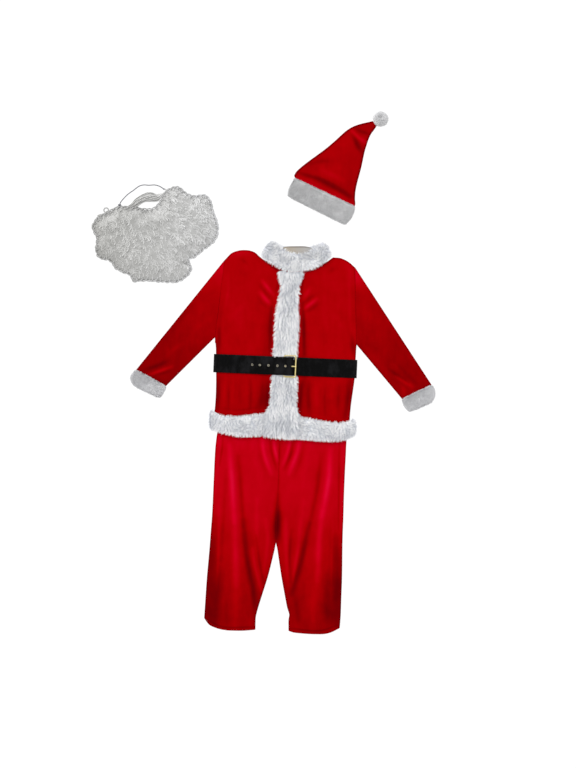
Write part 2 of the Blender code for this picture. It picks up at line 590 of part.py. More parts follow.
def fold_path(front, back, radius, turn_points):
    """Stations round a band that is folded flat: the front rows, the last fold, the back rows and the first fold.

    A row is (foot x, foot y, top x, top y, height of the wall's middle). Returns rows with the wall's outward
    direction in the XZ plane added."""
    stations = [(*row, 0.0, 1.0) for row in front]
    for end, sign, far in ((front[-1], 1.0, back[0]), (back[-1], -1.0, front[0])):
        low, high = (far[4], end[4]) if sign > 0 else (end[4], far[4])
        middle = (low + high) / 2
        reach = (high - low) / 2
        angles = np.radians(np.linspace(90, -90, turn_points + 2)[1:-1])
        if sign < 0:
            angles = angles[::-1]
        for angle in angles:
            shift = sign * reach * math.cos(angle)
            stations.append(
                (
                    end[0] + shift,
                    end[1],
                    end[2] + shift,
                    end[3],
                    middle + reach * math.sin(angle),
                    sign * math.cos(angle),
                    math.sin(angle),
                )
            )
        if sign > 0:
            stations += [(*row, 0.0, -1.0) for row in back]
    return np.array(stations)


def band_wall(name, stations, wall, finish, closed, bulges=None, steps=4):
    """A wall that follows stations, from foot to top at each of them. bulges push its middle out along X."""
    outer, inner = [], []
    for k, (foot_x, foot_y, top_x, top_y, z, nx, nz) in enumerate(stations):
        t = np.linspace(0, 1, steps)
        bow = 4 * t * (1 - t) * (0.0 if bulges is None else bulges[k])
        x, y = foot_x + (top_x - foot_x) * t + bow, foot_y + (top_y - foot_y) * t
        rim = 0.55 + 0.45 * np.sin(np.pi * np.clip(t, 0.0, 1.0)) ** 0.5
        for shell, side in ((outer, 1.0), (inner, -1.0)):
            out = side * wall / 2 * (rim if side > 0 else 1.0)
            shell.append(np.column_stack([x + nx * out, y, np.full(steps, z) + nz * out]))
    return ring_wall(name, np.array(outer), np.array(inner), finish, closed_ring=False, closed_run=closed)


def make_collar(plush):
    """A stand of plush folded flat, its front lower than its back, so that the neck is open between them."""
    wall = PLUSH
    back_z, front_z = wall / 2, 1.5 * wall + 0.0006
    front = [(*row, front_z) for row in along(COLLAR_FRONT, np.linspace(0, 1, 12))]
    back = [(*row, back_z) for row in along(COLLAR_BACK, np.linspace(0, 1, 9))][::-1]
    stations = fold_path(front, back, wall, 3)
    ends = np.abs(stations[:, 0] - NECK_X) / 0.14
    bulges = COLLAR_BULGE * np.sign(stations[:, 0] - NECK_X) * np.clip(ends, 0, 1) ** 8
    return band_wall("collar", stations, wall, plush, True, bulges)


def make_placket(plush):
    """The strip of plush down the front, over both front panels, with a tufted edge."""
    y = np.linspace(PLACKET_EDGES[0][0], PLACKET_EDGES[-1][0], 40)
    table = np.array(PLACKET_EDGES)[::-1]
    order = np.argsort(table[:, 0])
    right = np.interp(y, table[order, 0], table[order, 1])
    left = np.interp(y, table[order, 0], table[order, 2])
    tufts = 0.0016 * np.sin(y * 310.0) + 0.0013 * np.sin(y * 173.0 + 1.1)
    calm = smoothstep(-0.150, -0.120, y)
    right = right + tufts * calm
    left = left + 0.7 * tufts[::-1] * calm * smoothstep(0.40, 0.33, y)
    neck = smooth_line(FRONT_NECK, 0.01)
    top = [(px, py - SEAM) for px, py in neck if right[0] + 0.004 < px < left[0] - 0.004]
    outline = np.vstack(
        [
            np.column_stack([right, y])[:-1],
            smooth_line(PLACKET_HEM, 0.02)[:-1],
            np.column_stack([left, y])[::-1],
            np.array(top),
        ]
    )
    outline = outline if area_of(outline) > 0 else outline[::-1]
    sides = (np.column_stack([right, y]), np.column_stack([left, y]))

    def under(points):
        hem = smoothstep(-0.130, -0.168, points[:, 1])
        over_band = BAND_FRONT_Z + 0.0004
        return (jacket_front_under(points) + VELOUR + 2 * LAYER) * (1 - hem) + over_band * hem

    def over(points):
        near = np.min([distance_to(points, line) for line in sides], axis=0)
        pile = PLACKET_RIM + (PLACKET_PILE - PLACKET_RIM) * smoothstep(0.0, 0.016, near)
        press = smoothstep(0.050, 0.078, from_belt(points))
        pressed = np.minimum(pile, PLACKET_UNDER_BELT)
        return under(points) + pressed + (pile - pressed) * press

    return panel("placket", outline, (0.0190, 0.028), under, over, plush)


def make_hem_band(plush):
    """The plush round the jacket's hem: one strip from the placket round the back to the placket again."""
    wall = 0.0060
    foot = smooth_line(BAND_BOTTOM, 0.004)
    seam = smooth_line(HEM_SEAM, 0.004) - (0.0, 4 * SEAM)
    top = np.vstack([BAND_TOP_ENDS[0], seam, BAND_TOP_ENDS[1]])
    (droop_r, floor_r), (droop_l, floor_l) = BAND_DROOP
    reach = 0.0033
    end_r, end_l = floor_r + 0.0008, floor_l - 0.0008

    def row(x, layer):
        sink = max(float(smoothstep(droop_r, floor_r, x)), float(smoothstep(droop_l, floor_l, x)))
        z = WAIST_LIFT * (1 - sink) + wall / 2 + layer * 2 * reach
        return (
            x,
            float(np.interp(x, foot[:, 0], foot[:, 1])),
            x,
            float(np.interp(x, top[:, 0], top[:, 1])),
            z,
        )

    def beside_placket(column, gap):
        edges = np.array(PLACKET_EDGES)[::-1]
        _, foot_y, _, top_y, z = row(edges[1, column], 1)
        foot_x, top_x = (float(np.interp(y, edges[:, 0], edges[:, column])) + gap for y in (foot_y, top_y))
        return (foot_x, foot_y, top_x, top_y, z)

    front_l = [beside_placket(2, 2 * SEAM)] + [row(x, 1) for x in (0.190, 0.235, 0.270, 0.300, 0.330, 0.350, 0.360, 0.368, end_l)]
    back = [row(x, 0) for x in (end_l, 0.366, 0.355, 0.330, 0.300, 0.265, 0.200, 0.100, 0.0, -0.080, -0.130, -0.160, -0.182, -0.197, -0.206, end_r)]
    front_r = [row(x, 1) for x in (end_r, -0.206, -0.197, -0.187, -0.170, -0.140, -0.105, -0.070, -0.035)]
    front_r.append(beside_placket(1, -2 * SEAM))
    stations = fold_path(front_l, back, wall, 3)
    stations = np.vstack([stations, [(*r, 0.0, 1.0) for r in front_r]])
    far = np.where(stations[:, 0] > 0.08, stations[:, 0] - 0.350, -0.194 - stations[:, 0])
    bulges = 0.007 * np.sign(stations[:, 0] - 0.08) * np.clip(far / 0.03, 0, 1) ** 2
    return band_wall("hem_band", stations, wall, plush, False, bulges, steps=5)


def ribbon(name, path, width, thickness, finish):
    """A strap of one width that follows a path in the XZ plane."""
    path = np.array(path, float)
    ahead = np.gradient(path, axis=0)
    ahead /= np.linalg.norm(ahead, axis=1)[:, None]
    normal = np.column_stack([-ahead[:, 1], ahead[:, 0]])
    sides = []
    for out in (thickness / 2, -thickness / 2):
        edge = path + out * normal
        rows = [np.column_stack([edge[:, 0], np.full(len(edge), y), edge[:, 1]]) for y in (-width / 2, 0.0, width / 2)]
        sides.append(np.stack(rows, axis=1))
    return ring_wall(name, sides[0], sides[1], finish, closed_ring=False)


def arc(centre, radius, start, end, count):
    """Points on an arc in the XZ plane; angles in degrees from +X towards +Z."""
    angles = np.radians(np.linspace(start, end, count))
    return [(centre[0] + radius * math.cos(a), centre[1] + radius * math.sin(a)) for a in angles]


def tail_path():
    """The strap's loose end, from the buckle's outer bar over the pivot bar to its tip."""
    shift = VINYL + LAYER + 0.0001
    laid = [(x, z + shift) for x, z in STRAP_RIGHT[1:-1]]
    return [*STRAP_DIVE, *STRAP_HUMP, *laid, *STRAP_TIP]


def strap_path():
    """The strap's wall middle, from its fixed end at the buckle round the jacket to its tip."""
    pivot = (-BUCKLE_HALF[0], BUCKLE_Z)
    turn = BAR + LAYER + VINYL / 2
    bend = (STRAP_RIGHT[-1][1] - VINYL / 2) / 2
    fixed = [*STRAP_FIXED, *arc(pivot, turn, 90, -90, 7), *STRAP_RIGHT]
    round_right = arc((STRAP_SIDES[0], VINYL / 2 + bend), bend, 100, 270, 7)
    back = [(x, VINYL / 2) for x in np.linspace(STRAP_SIDES[0] + 0.012, STRAP_SIDES[1] - 0.012, 8)]
    round_left = arc((STRAP_SIDES[1], VINYL / 2 + bend), bend, -90, 80, 7)
    return [*fixed, *round_right, *back, *round_left, *STRAP_LEFT, *tail_path()]


def tail_at(x):
    """Height and slope of the strap's tail over x."""
    path = np.array(sorted(tail_path()))
    step = 0.003
    low, z, high = (float(np.interp(at, path[:, 0], path[:, 1])) for at in (x - step, x, x + step))
    return z, math.atan2(high - low, 2 * step)


def cutter_for(strap, name, place, tilt=0.0):
    """Makes the object just added cut the strap."""
    cutter = bpy.context.object
    cutter.name = name
    cutter.location = place
    cutter.rotation_euler = (0.0, -tilt, 0.0)
    cutter.hide_render = True
    cutter.display_type = "WIRE"
    cut = strap.modifiers.new(name, "BOOLEAN")
    cut.object = cutter
    return cutter


def make_belt(vinyl, brass, steel):
    """The belt lies along X about its buckle's middle; its group turns it to the slant that it has."""
    strap = ribbon("belt_strap", strap_path(), BELT_WIDTH, VINYL, vinyl)
    made, cutters = [strap], []
    outer, hole, thickness = EYELET
    for number, x in enumerate(EYELET_X, 1):
        z, tilt = tail_at(x)
        bpy.ops.mesh.primitive_cylinder_add(vertices=12, radius=hole + LAYER, depth=VINYL + 0.0008)
        cutters.append(cutter_for(strap, f"cut_eyelet_{number}", (x, 0.0, z), tilt))
        out = VINYL / 2 + LAYER + thickness / 2
        centre = (x - out * math.sin(tilt), 0.0, z + out * math.cos(tilt))
        made.append(washer(f"eyelet_{number}", centre, tilt, outer, hole, thickness, steel))
    z, tilt = tail_at(PRONG_HOLE_X)
    bpy.ops.mesh.primitive_cylinder_add(vertices=12, radius=0.0035, depth=0.006)
    bpy.context.object.data.transform(Matrix.Diagonal((1.7, 1.0, 1.0, 1.0)))
    cutters.append(cutter_for(strap, "cut_prong_hole", (PRONG_HOLE_X, 0.0, z), tilt))
    pivot_x = -BUCKLE_HALF[0]
    width, thick = PRONG
    bpy.ops.mesh.primitive_cube_add(size=1.0)
    bpy.context.object.data.transform(Matrix.Diagonal((0.0135, width + 0.003, 0.0102, 1.0)))
    cutters.append(cutter_for(strap, "cut_prong_slot", (pivot_x + 0.0008, 0.0, BUCKLE_Z)))
    made.append(buckle_frame(brass))
    hook = arc((pivot_x, BUCKLE_Z), BAR + LAYER + thick / 2, 225, 90, 7)
    top = BUCKLE_Z + BAR + LAYER + thick / 2
    rod = [(x, top) for x in (pivot_x + 0.010, 0.0, 0.012, -pivot_x, -pivot_x + 0.0032)]
    made.append(ribbon("buckle_prong", hook + rod, width, thick, brass))
    return made, cutters


def washer(name, centre, tilt, outer, hole, thickness, finish):
    angles = np.linspace(0, 2 * math.pi, 13)[:-1]
    sides = [
        np.array([[(r * math.cos(a), r * math.sin(a), z) for r in (hole, outer)] for a in angles])
        for z in (thickness / 2, -thickness / 2)
    ]
    obj = ring_wall(name, *sides, finish, closed_ring=False, closed_run=True)
    obj.location = centre
    obj.rotation_euler = (0.0, -tilt, 0.0)
    return obj


def buckle_frame(brass):
    half_x, half_y = BUCKLE_HALF
    points = []
    for cx, cy, start in ((1, 1, 0), (-1, 1, 90), (-1, -1, 180), (1, -1, 270)):
        for angle in np.radians(np.linspace(start, start + 90, 4)):
            x = cx * (half_x - BUCKLE_CORNER) + BUCKLE_CORNER * math.cos(angle)
            y = cy * (half_y - BUCKLE_CORNER) + BUCKLE_CORNER * math.sin(angle)
            points.append((x, y, 0.0))
    obj = wire("buckle_frame", points, BAR, brass, cyclic=True)
    obj.location.z = BUCKLE_Z
    return obj


def wire(name, points, radius, finish, cyclic=False):
    curve = bpy.data.curves.new(name, "CURVE")
    curve.dimensions = "3D"
    curve.bevel_depth = radius
    curve.bevel_resolution = 2
    curve.use_fill_caps = not cyclic
    spline = curve.splines.new("POLY")
    spline.points.add(len(points) - 1)
    for point, place in zip(spline.points, points):
        point.co = (*map(float, place), 1.0)
    spline.use_cyclic_u = cyclic
    curve.materials.append(finish)
    obj = bpy.data.objects.new(name, curve)
    bpy.context.scene.collection.objects.link(obj)
    return obj


def make_hat(velour, plush):
    cone = along(HAT_CONE, np.linspace(0, 1, 14))
    made = [flat_tube("hat_cone", cone, VELOUR, TUBE_EDGE, velour, HAT_FOLDS, 0.0008, across=(4, 3, 10))]
    trim = along(HAT_TRIM, np.linspace(0, 1, 7))
    made.append(flat_tube("hat_trim", trim, HAT_TRIM_WALL, 2 * HAT_TRIM_WALL + 0.001, plush, across=(5, 3, 11)))
    rings, spokes = 11, 18
    points = [(0.0, 0.0, -POMPOM_REST)]
    for i in range(1, rings):
        polar = math.pi * (1 - i / rings)
        for j in range(spokes):
            turn = 2 * math.pi * j / spokes
            lump = 1 + 0.035 * math.sin(5 * turn + 2.1 * i) * math.sin(polar)
            r = POMPOM_RADIUS * lump
            z = r * math.cos(polar)
            points.append((r * math.sin(polar) * math.cos(turn), r * math.sin(polar) * math.sin(turn), max(z, -POMPOM_REST)))
    points.append((0.0, 0.0, POMPOM_RADIUS))
    last = len(points) - 1
    faces = []
    for j in range(spokes):
        k = (j + 1) % spokes
        faces.append((0, 1 + k, 1 + j))
        for i in range(rings - 2):
            a, b = 1 + i * spokes, 1 + (i + 1) * spokes
            faces.append((a + j, a + k, b + k, b + j))
        faces.append((last - spokes + j, last - spokes + k, last))
    pompom = add_object("pompom", points, faces, plush)
    face_out(pompom)
    pompom.location = (*POMPOM, POMPOM_REST)
    made.append(pompom)
    return made


def lock_relief(points):
    """Curls of the beard, as short ridges that cross each other."""
    x, y = points[:, 0], points[:, 1]
    one = np.sin(118 * x + 34 * np.sin(17 * y + 0.6)) * np.sin(74 * y + 1.3 * np.sin(31 * x))
    two = np.sin(61 * x - 83 * y + 2.2 * np.sin(23 * x + 11 * y))
    return 0.0022 * one + 0.0016 * two


def make_beard(hair, elastic):
    top = smooth_line(BEARD_TOP, 0.016)
    rest = smooth_line(BEARD_REST, 0.013)
    run = np.linspace(0, 1, len(rest))
    ahead = np.gradient(rest, axis=0)
    out = np.column_stack([-ahead[:, 1], ahead[:, 0]]) / np.linalg.norm(ahead, axis=1)[:, None]
    scallop = BEARD_LOCK_DEPTH * (np.abs(np.sin(math.pi * BEARD_LOCKS * run)) - 0.5)
    ends = smoothstep(0.0, 0.02, run) * smoothstep(1.0, 0.98, run)
    rest = rest + out * (scallop * ends)[:, None]
    outline = np.vstack([top[:-1], rest[:-1]])
    outline = outline if area_of(outline) > 0 else outline[::-1]
    edge = np.vstack([outline, outline[:1]])

    def over(points):
        near = distance_to(points, edge)
        dome = smoothstep(0.0, 0.060, near)
        return BEARD_RIM + (BEARD_HEIGHT - BEARD_RIM) * dome + lock_relief(points) * smoothstep(0.0, 0.02, near)

    made = [panel("beard", outline, (0.0230, 0.0230), lambda p: np.zeros(len(p)), over, hair)]
    rows = along(MOUSTACHE, np.linspace(0, 1, 17))
    strip = np.vstack([rows[:, :2], rows[::-1, 2:]])
    strip = strip if area_of(strip) > 0 else strip[::-1]

    def roll(points):
        near = distance_to(points, np.vstack([strip, strip[:1]]))
        return 0.0050 + (MOUSTACHE_HEIGHT - 0.0050) * smoothstep(0.0, 0.017, near)

    made.append(panel("moustache", strip, (0.009, 0.009), lambda p: np.zeros(len(p)), roll, hair))
    made.append(wire("beard_elastic", smooth_line(ELASTIC, 0.0070), ELASTIC_RADIUS, elastic))
    return made


def group(name, parent, members):
    empty = bpy.data.objects.new(name, None)
    bpy.context.scene.collection.objects.link(empty)
    empty.parent = parent
    for member in members:
        member.parent = empty
    return empty


def main():
    clear_scene()
    velour = material("red_velour", (0.62, 0.005, 0.012), 0.85)
    plush = material("white_plush", (0.82, 0.83, 0.85), 0.95)
    vinyl = material("black_vinyl", (0.012, 0.012, 0.013), 0.45)
    brass = material("brass", (0.78, 0.62, 0.30), 0.28, 1.0)
    steel = material("eyelet_metal", (0.62, 0.60, 0.54), 0.35, 1.0)
    hair = material("white_curls", (0.80, 0.80, 0.78), 0.40)
    elastic = material("grey_elastic", (0.55, 0.55, 0.57), 0.70)

    whole = group("santa_suit", None, [])
    jacket = [*make_jacket_body(velour), *make_sleeves(velour, plush)]
    jacket += [make_collar(plush), make_placket(plush), make_hem_band(plush)]
    group("jacket", whole, jacket)
    group("trousers", whole, make_trousers(velour))
    belt, cutters = make_belt(vinyl, brass, steel)
    laid = group("belt", whole, belt + cutters)
    laid.location = (BUCKLE_X, BELT_MID_Y, 0.0)
    laid.rotation_euler = (0.0, 0.0, math.atan(BELT_SLOPE))
    group("hat", whole, make_hat(velour, plush))
    group("beard_set", whole, make_beard(hair, elastic))
    bpy.context.view_layer.update()
    corners = [
        obj.matrix_world @ Vector(corner)
        for obj in bpy.data.objects
        if obj.type != "EMPTY" and not obj.hide_render
        for corner in obj.bound_box
    ]
    for axis in (0, 1):
        places = [corner[axis] for corner in corners]
        whole.location[axis] = -(min(places) + max(places)) / 2


main()
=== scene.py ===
"""A Santa suit laid flat: velour and white plush, with a vinyl belt and a curled beard.

Metres, +Z up, the suit's front looks up. Every piece is built on its own solid of the frame."""

import math
from collections import namedtuple

import bmesh
import bpy
import numpy as np
from mathutils import Matrix, Vector, kdtree
from mathutils.bvhtree import BVHTree
from mathutils.geometry import delaunay_2d_cdt


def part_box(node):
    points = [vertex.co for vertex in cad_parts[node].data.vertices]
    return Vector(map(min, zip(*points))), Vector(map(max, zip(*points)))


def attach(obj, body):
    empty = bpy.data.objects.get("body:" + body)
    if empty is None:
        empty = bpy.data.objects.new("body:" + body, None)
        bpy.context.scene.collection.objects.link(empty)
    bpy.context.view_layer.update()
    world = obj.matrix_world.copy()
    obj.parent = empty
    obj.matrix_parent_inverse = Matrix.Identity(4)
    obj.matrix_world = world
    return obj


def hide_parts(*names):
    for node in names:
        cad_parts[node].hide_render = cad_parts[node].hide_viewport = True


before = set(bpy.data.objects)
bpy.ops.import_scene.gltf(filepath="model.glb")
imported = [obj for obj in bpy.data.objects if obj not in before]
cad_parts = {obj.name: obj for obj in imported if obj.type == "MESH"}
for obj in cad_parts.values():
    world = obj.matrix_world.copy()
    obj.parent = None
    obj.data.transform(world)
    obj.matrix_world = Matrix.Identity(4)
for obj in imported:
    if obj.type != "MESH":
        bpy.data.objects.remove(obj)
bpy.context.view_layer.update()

# ---- Sizes ----

# The plan's grid has squares of 4.2 mm, counted to the right and down.
# Folds, seams and the camera have their places in it.
SQUARE = 0.0042
BUCKLE_AT = (289.917, 366.307)  # the buckle's middle in the grid
SHEET = (576, 768)  # the squares that the camera takes in
BUCKLE_MIDDLE = sum(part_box("buckle_frame"), Vector()) / 2

# Cloth
VELOUR = 0.0015  # wall of the red cloth
CLOTH_STEP = 0.0046  # between points of its upper face
SLEEVE_STEP = 0.0057  # the same, on the sleeves
HIDDEN_STEP = 0.0120  # between points of its under face
ROLL = 0.0018  # width of a closed edge's round
SEAM_LAP = 0.0010  # how far a sewn edge goes on under the next piece
FLOOR_GAP = 0.0003  # between the floor and whatever lies on it
UNDER_STRAP = 0.0004  # between the cloth and the belt that lies on it
BACK_INSET = 0.0024  # a back panel ends inside the front's rolled edge
PROBE = 1.0  # height from which solids are felt for

# Pile
PLUSH_STEP = 0.0090  # longest edge of a plush backing
REFINE_ROUNDS = 6  # how often an edge may be halved to get there
PileKind = namedtuple("PileKind", "hairs length width lay clump clump_size swirl seed")

# Belt
STRAP_WIDTH = 0.0770
STRAP_WALL = 0.0020
EYELET_OUTER, EYELET_HOLE, EYELET_RISE, EYELET_SIDES = 0.0050, 0.0025, 0.0013, 28

# The beard's elastic: the route of its middle, from the knot round to the other end
ELASTIC = (
    (-0.6030, 0.7055, 0.0060), (-0.6010, 0.7140, 0.0035), (-0.5930, 0.7270, 0.0013),
    (-0.5690, 0.7520, 0.0013), (-0.5450, 0.7690, 0.0013), (-0.5240, 0.7850, 0.0013),
    (-0.5040, 0.7915, 0.0013), (-0.4800, 0.7905, 0.0013), (-0.4560, 0.7915, 0.0013),
    (-0.4380, 0.7870, 0.0015), (-0.4220, 0.7775, 0.0040), (-0.4155, 0.7710, 0.0065),
)
ELASTIC_WIDTH, ELASTIC_THICK = 0.0042, 0.0023
PLAN_BUCKLE = (0.1120, 0.0300)  # the buckle's middle in that route's plan
ELASTIC_SHIFT = np.array((BUCKLE_MIDDLE.x - PLAN_BUCKLE[0], BUCKLE_MIDDLE.y - PLAN_BUCKLE[1], 0.0))

# Folds of the velour: the start, middle and end of a soft line and its half width, in squares of the grid,
# its height in millimetres, below zero for a trough, and its painted shading: highlight above zero, shade
# below.
Fold = namedtuple("Fold", "x0 y0 x1 y1 x2 y2 width height nap")
JACKET_FOLDS = (
    # shoulders and chest
    (228, 257, 238, 253, 252, 253, 3.4, 0.8, 0.30),
    (240, 259, 244, 261, 248, 265, 1.6, -0.6, -0.22),
    (224, 262, 223, 272, 221, 284, 4.5, 0.6, 0.16),
    (228, 270, 228.5, 288, 224.5, 312, 1.3, 0.5, 0.16),
    (222, 300, 220, 318, 219, 332, 2.2, -0.6, -0.20),
    (262.5, 281, 268, 288, 273, 294.5, 1.9, 3.0, 0.85),
    (260, 285.5, 266, 293, 271, 299, 1.8, -1.0, -0.30),
    (260.5, 292.5, 265.5, 299, 271, 304.5, 2.1, 3.0, 0.95),
    (258, 297, 262, 303, 268, 308, 1.9, -0.8, -0.22),
    (304.5, 297.5, 307, 293.5, 310, 289, 2.2, 1.6, 0.45),
    (305, 308.5, 311, 303.8, 317, 299.3, 2.0, 3.0, 0.90),
    (304, 303, 309, 299, 314, 295.5, 1.8, -0.9, -0.28),
    (306, 311.5, 312, 309, 318, 304, 2.0, -0.9, -0.30),
    (329, 272, 332, 270, 336, 268, 2.4, -0.7, -0.24),
    (345, 262, 349, 268, 352, 280, 4.2, 0.8, 0.26),
    (349.5, 275, 349.5, 300, 350.5, 330, 1.7, 0.5, 0.20),
    (240, 275, 240, 300, 238, 330, 9.0, 0.5, 0.06),
    (322, 280, 326, 305, 326, 335, 9.0, 0.5, 0.08),
    (219, 329, 219, 338, 218.5, 352, 2.6, -0.9, -0.62),
    (352, 336, 353, 346, 354, 356, 2.6, -0.9, -0.45),
    (230, 322, 238, 312, 248, 305, 3.6, 0.9, 0.08),
    (344, 330, 336, 318, 328, 310, 3.6, 0.9, 0.08),
    # beside the placket, where its edge shades the velour
    (262, 256, 270, 262, 276, 268, 1.7, -0.5, -0.62),
    (276.5, 268, 278.5, 280, 276, 292, 1.5, -0.4, -0.40),
    (272, 303, 270.8, 322, 270, 354, 2.1, -0.8, -0.80),
    (303.5, 271, 302.5, 284, 301, 298, 1.2, -0.4, -0.45),
    (302.5, 303, 303.5, 322, 304.3, 354, 1.9, -0.8, -0.75),
    (328, 259, 318, 265, 304, 270, 1.4, -0.4, -0.42),
    (268.5, 380, 268, 394, 266, 412, 2.8, -0.8, -0.80),
    (263.5, 384, 262.5, 398, 258, 411, 3.4, -0.5, -0.38),
    (301.5, 382, 300.5, 396, 299.5, 414, 2.0, -0.8, -0.80),
    # below the belt
    (218.4, 378, 218.3, 394, 217.5, 409, 2.2, -0.8, -0.66),
    (225, 378, 225, 390, 224, 408, 1.6, 1.0, 0.16),
    (228.6, 382, 229, 395, 228.5, 408, 1.3, -0.7, -0.20),
    (234, 378, 233, 392, 232.5, 408, 2.2, 1.1, 0.14),
    (241, 380, 240, 395, 241, 408, 1.7, -0.6, -0.12),
    (247, 378, 246.5, 392, 247, 408, 2.0, 0.9, 0.12),
    (250.8, 379, 251, 395, 250, 410, 1.5, -0.7, -0.24),
    (256, 380, 255, 394, 254, 408, 1.8, 0.8, 0.06),
    (308.8, 382, 308.5, 398, 309.5, 414, 2.2, -0.8, -0.42),
    (316, 380, 316, 396, 316.5, 412, 2.6, 1.2, 0.22),
    (325, 388, 324.5, 402, 325, 416, 1.6, -0.7, -0.24),
    (332, 382, 332, 398, 333, 414, 2.4, 1.0, 0.14),
    (339.5, 384, 338.5, 400, 338, 416, 1.8, -0.6, -0.18),
    (349.5, 380, 348.5, 396, 345, 418, 2.6, -0.8, -0.62),
    (219, 410.5, 236, 412.6, 262, 409.8, 1.1, 0.7, 0.10),
    (222, 408, 238, 410, 258, 407.6, 0.9, -0.5, -0.16),
    (303, 413, 318, 416, 334, 419.5, 1.1, 0.6, 0.08),
    # shade beside the placket, at the side and on the shoulder
    (267.5, 312, 265.5, 350, 262, 413, 3.6, 0.0, -0.26),
    (304.5, 322, 304.5, 360, 304.5, 414, 3.6, 0.0, -0.22),
    (209, 378, 208, 394, 206, 410, 4.0, 0.0, -0.22),
    (213, 258, 209, 266, 206, 276, 4.0, 0.0, -0.16),
)

TROUSER_FOLDS = (
    # gathers that run together towards the centre seam
    (262.4, 438, 264.5, 455, 271.5, 474, 2.2, 2.2, 0.80),
    (258.5, 438, 261, 458, 268, 478, 2.0, -0.8, -0.20),
    (269.8, 438, 272, 453, 277, 470, 1.7, -1.2, -0.62),
    (273.6, 439, 275, 449, 278, 461, 1.9, 2.0, 0.85),
    (281, 440, 280, 452, 279, 464, 1.9, -0.8, -0.34),
    (290.2, 440, 288, 451, 283.5, 464, 1.9, 2.0, 0.80),
    (293.5, 440, 290.5, 455, 284.5, 469, 1.7, -1.2, -0.66),
    (299.4, 440, 297, 453, 289, 474, 2.3, 2.2, 0.95),
    (304, 441, 301, 458, 294, 478, 2.0, -0.8, -0.30),
    (311, 441, 307, 462, 302, 486, 3.2, 1.2, 0.18),
    (252, 439, 256, 462, 262, 488, 3.2, 1.2, 0.16),
    # side seams, with a fold on either side of them
    (223.2, 434, 222.4, 447, 219.5, 466, 0.9, -1.0, -0.55),
    (219.8, 434, 218.6, 455, 215, 500, 1.8, 0.9, 0.16),
    (339.4, 440, 339, 470, 338.6, 530, 1.0, -1.0, -0.52),
    (342.6, 440, 342.6, 470, 341.5, 530, 1.5, 0.8, 0.20),
    (318, 443.5, 330, 444.5, 341, 443, 0.8, 0.4, 0.10),
    # long folds down the outside of the legs
    (229.5, 446, 232, 480, 234.5, 522, 3.0, 3.2, 1.00),
    (234.5, 516, 235.5, 545, 236, 585, 3.4, 2.8, 0.62),
    (236, 575, 236, 600, 237, 630, 4.2, 1.6, 0.26),
    (238.5, 456, 241, 490, 243.5, 526, 2.6, -1.2, -0.58),
    (243, 520, 247.5, 560, 257, 606, 3.0, -1.6, -0.78),
    (330.2, 450, 328.5, 480, 322, 516, 3.0, 3.2, 1.00),
    (322, 512, 318.8, 545, 317.8, 580, 3.2, 2.8, 0.78),
    (317.5, 572, 314, 600, 312.5, 628, 4.0, 1.6, 0.30),
    (321.5, 454, 317, 490, 309.5, 528, 2.8, -1.2, -0.60),
    (309, 524, 301, 562, 291.5, 594, 3.0, -1.6, -0.78),
    (226.5, 470, 224, 510, 221.5, 560, 2.0, -0.6, -0.26),
    (219, 500, 218.6, 545, 216.5, 590, 1.3, 0.5, 0.26),
    (333, 520, 331.8, 555, 331, 600, 1.3, 0.5, 0.22),
    (214, 520, 210.5, 575, 209, 618, 6.5, -0.3, -0.62),
    (220, 570, 217, 600, 215, 626, 4.5, -0.2, -0.42),
    (336.5, 540, 337, 580, 336, 622, 6.0, -0.3, -0.66),
    (328, 575, 327.5, 600, 327, 628, 4.0, -0.2, -0.36),
    (226, 595, 226.5, 612, 227, 630, 2.0, 0.5, -0.16),
    # inside of the legs
    (257, 500, 257.5, 540, 262, 590, 2.2, 1.6, 0.30),
    (252.5, 548, 255.5, 568, 261.5, 591, 1.5, 1.4, 0.42),
    (256.5, 536, 259.5, 562, 263.5, 582, 1.7, -1.0, -0.55),
    (265.5, 520, 268, 540, 264, 572, 2.2, 1.8, 0.42),
    (303.5, 500, 299.5, 535, 293.5, 575, 2.2, 1.6, 0.30),
    (299.5, 545, 295.5, 565, 292, 588, 1.5, 1.4, 0.30),
    (291.5, 530, 289.5, 555, 290.5, 582, 1.7, -1.0, -0.42),
    (285.8, 520, 286, 545, 288.5, 585, 2.2, 1.8, 0.42),
    (251.5, 590, 254, 606, 255.5, 620, 2.0, -0.8, -0.30),
    (294.5, 594, 297, 608, 299, 622, 2.6, -0.6, -0.26),
    # the centre seam, with painted shade towards the fork
    (279.3, 444, 279.2, 475, 278.6, 500, 0.9, -0.8, -0.30),
    (278.2, 495, 277.6, 520, 277.2, 541, 3.4, -0.8, -0.92),
    (277.4, 514, 277, 528, 276.6, 541, 4.8, -0.4, -0.66),
    # shade under the jacket's hem
    (220, 434.5, 242, 438.5, 262, 437, 1.3, 0.0, -0.30),
    (262, 437, 285, 440, 305, 441, 1.3, 0.0, -0.26),
    (305, 441, 325, 443, 344, 441, 1.3, 0.0, -0.26),
    # the hems' stitched lines: grooves with painted shade
    (207.5, 619.5, 224, 627, 254, 627, 0.7, -0.5, -0.50),
    (289.8, 628.2, 318, 630.8, 337.5, 625.2, 0.7, -0.5, -0.50),
    # broad shade and light
    (213, 488, 211.5, 508, 210.5, 530, 4.0, 0.0, -0.20),
    (334, 500, 333.5, 520, 333, 545, 4.0, 0.0, -0.11),
    (309, 568, 308, 592, 306, 618, 4.5, 0.0, 0.14),
    (238, 560, 239, 585, 241, 606, 4.0, 0.0, 0.07),
    (321, 603, 329, 612, 337, 621, 5.0, 0.0, -0.22),
    (206, 606, 209, 614, 213, 623, 5.0, 0.0, -0.20),
    (246.5, 514, 249, 535, 253, 556, 3.6, 0.0, -0.14),
    (295, 512, 293, 532, 291.5, 552, 3.6, 0.0, -0.13),
)

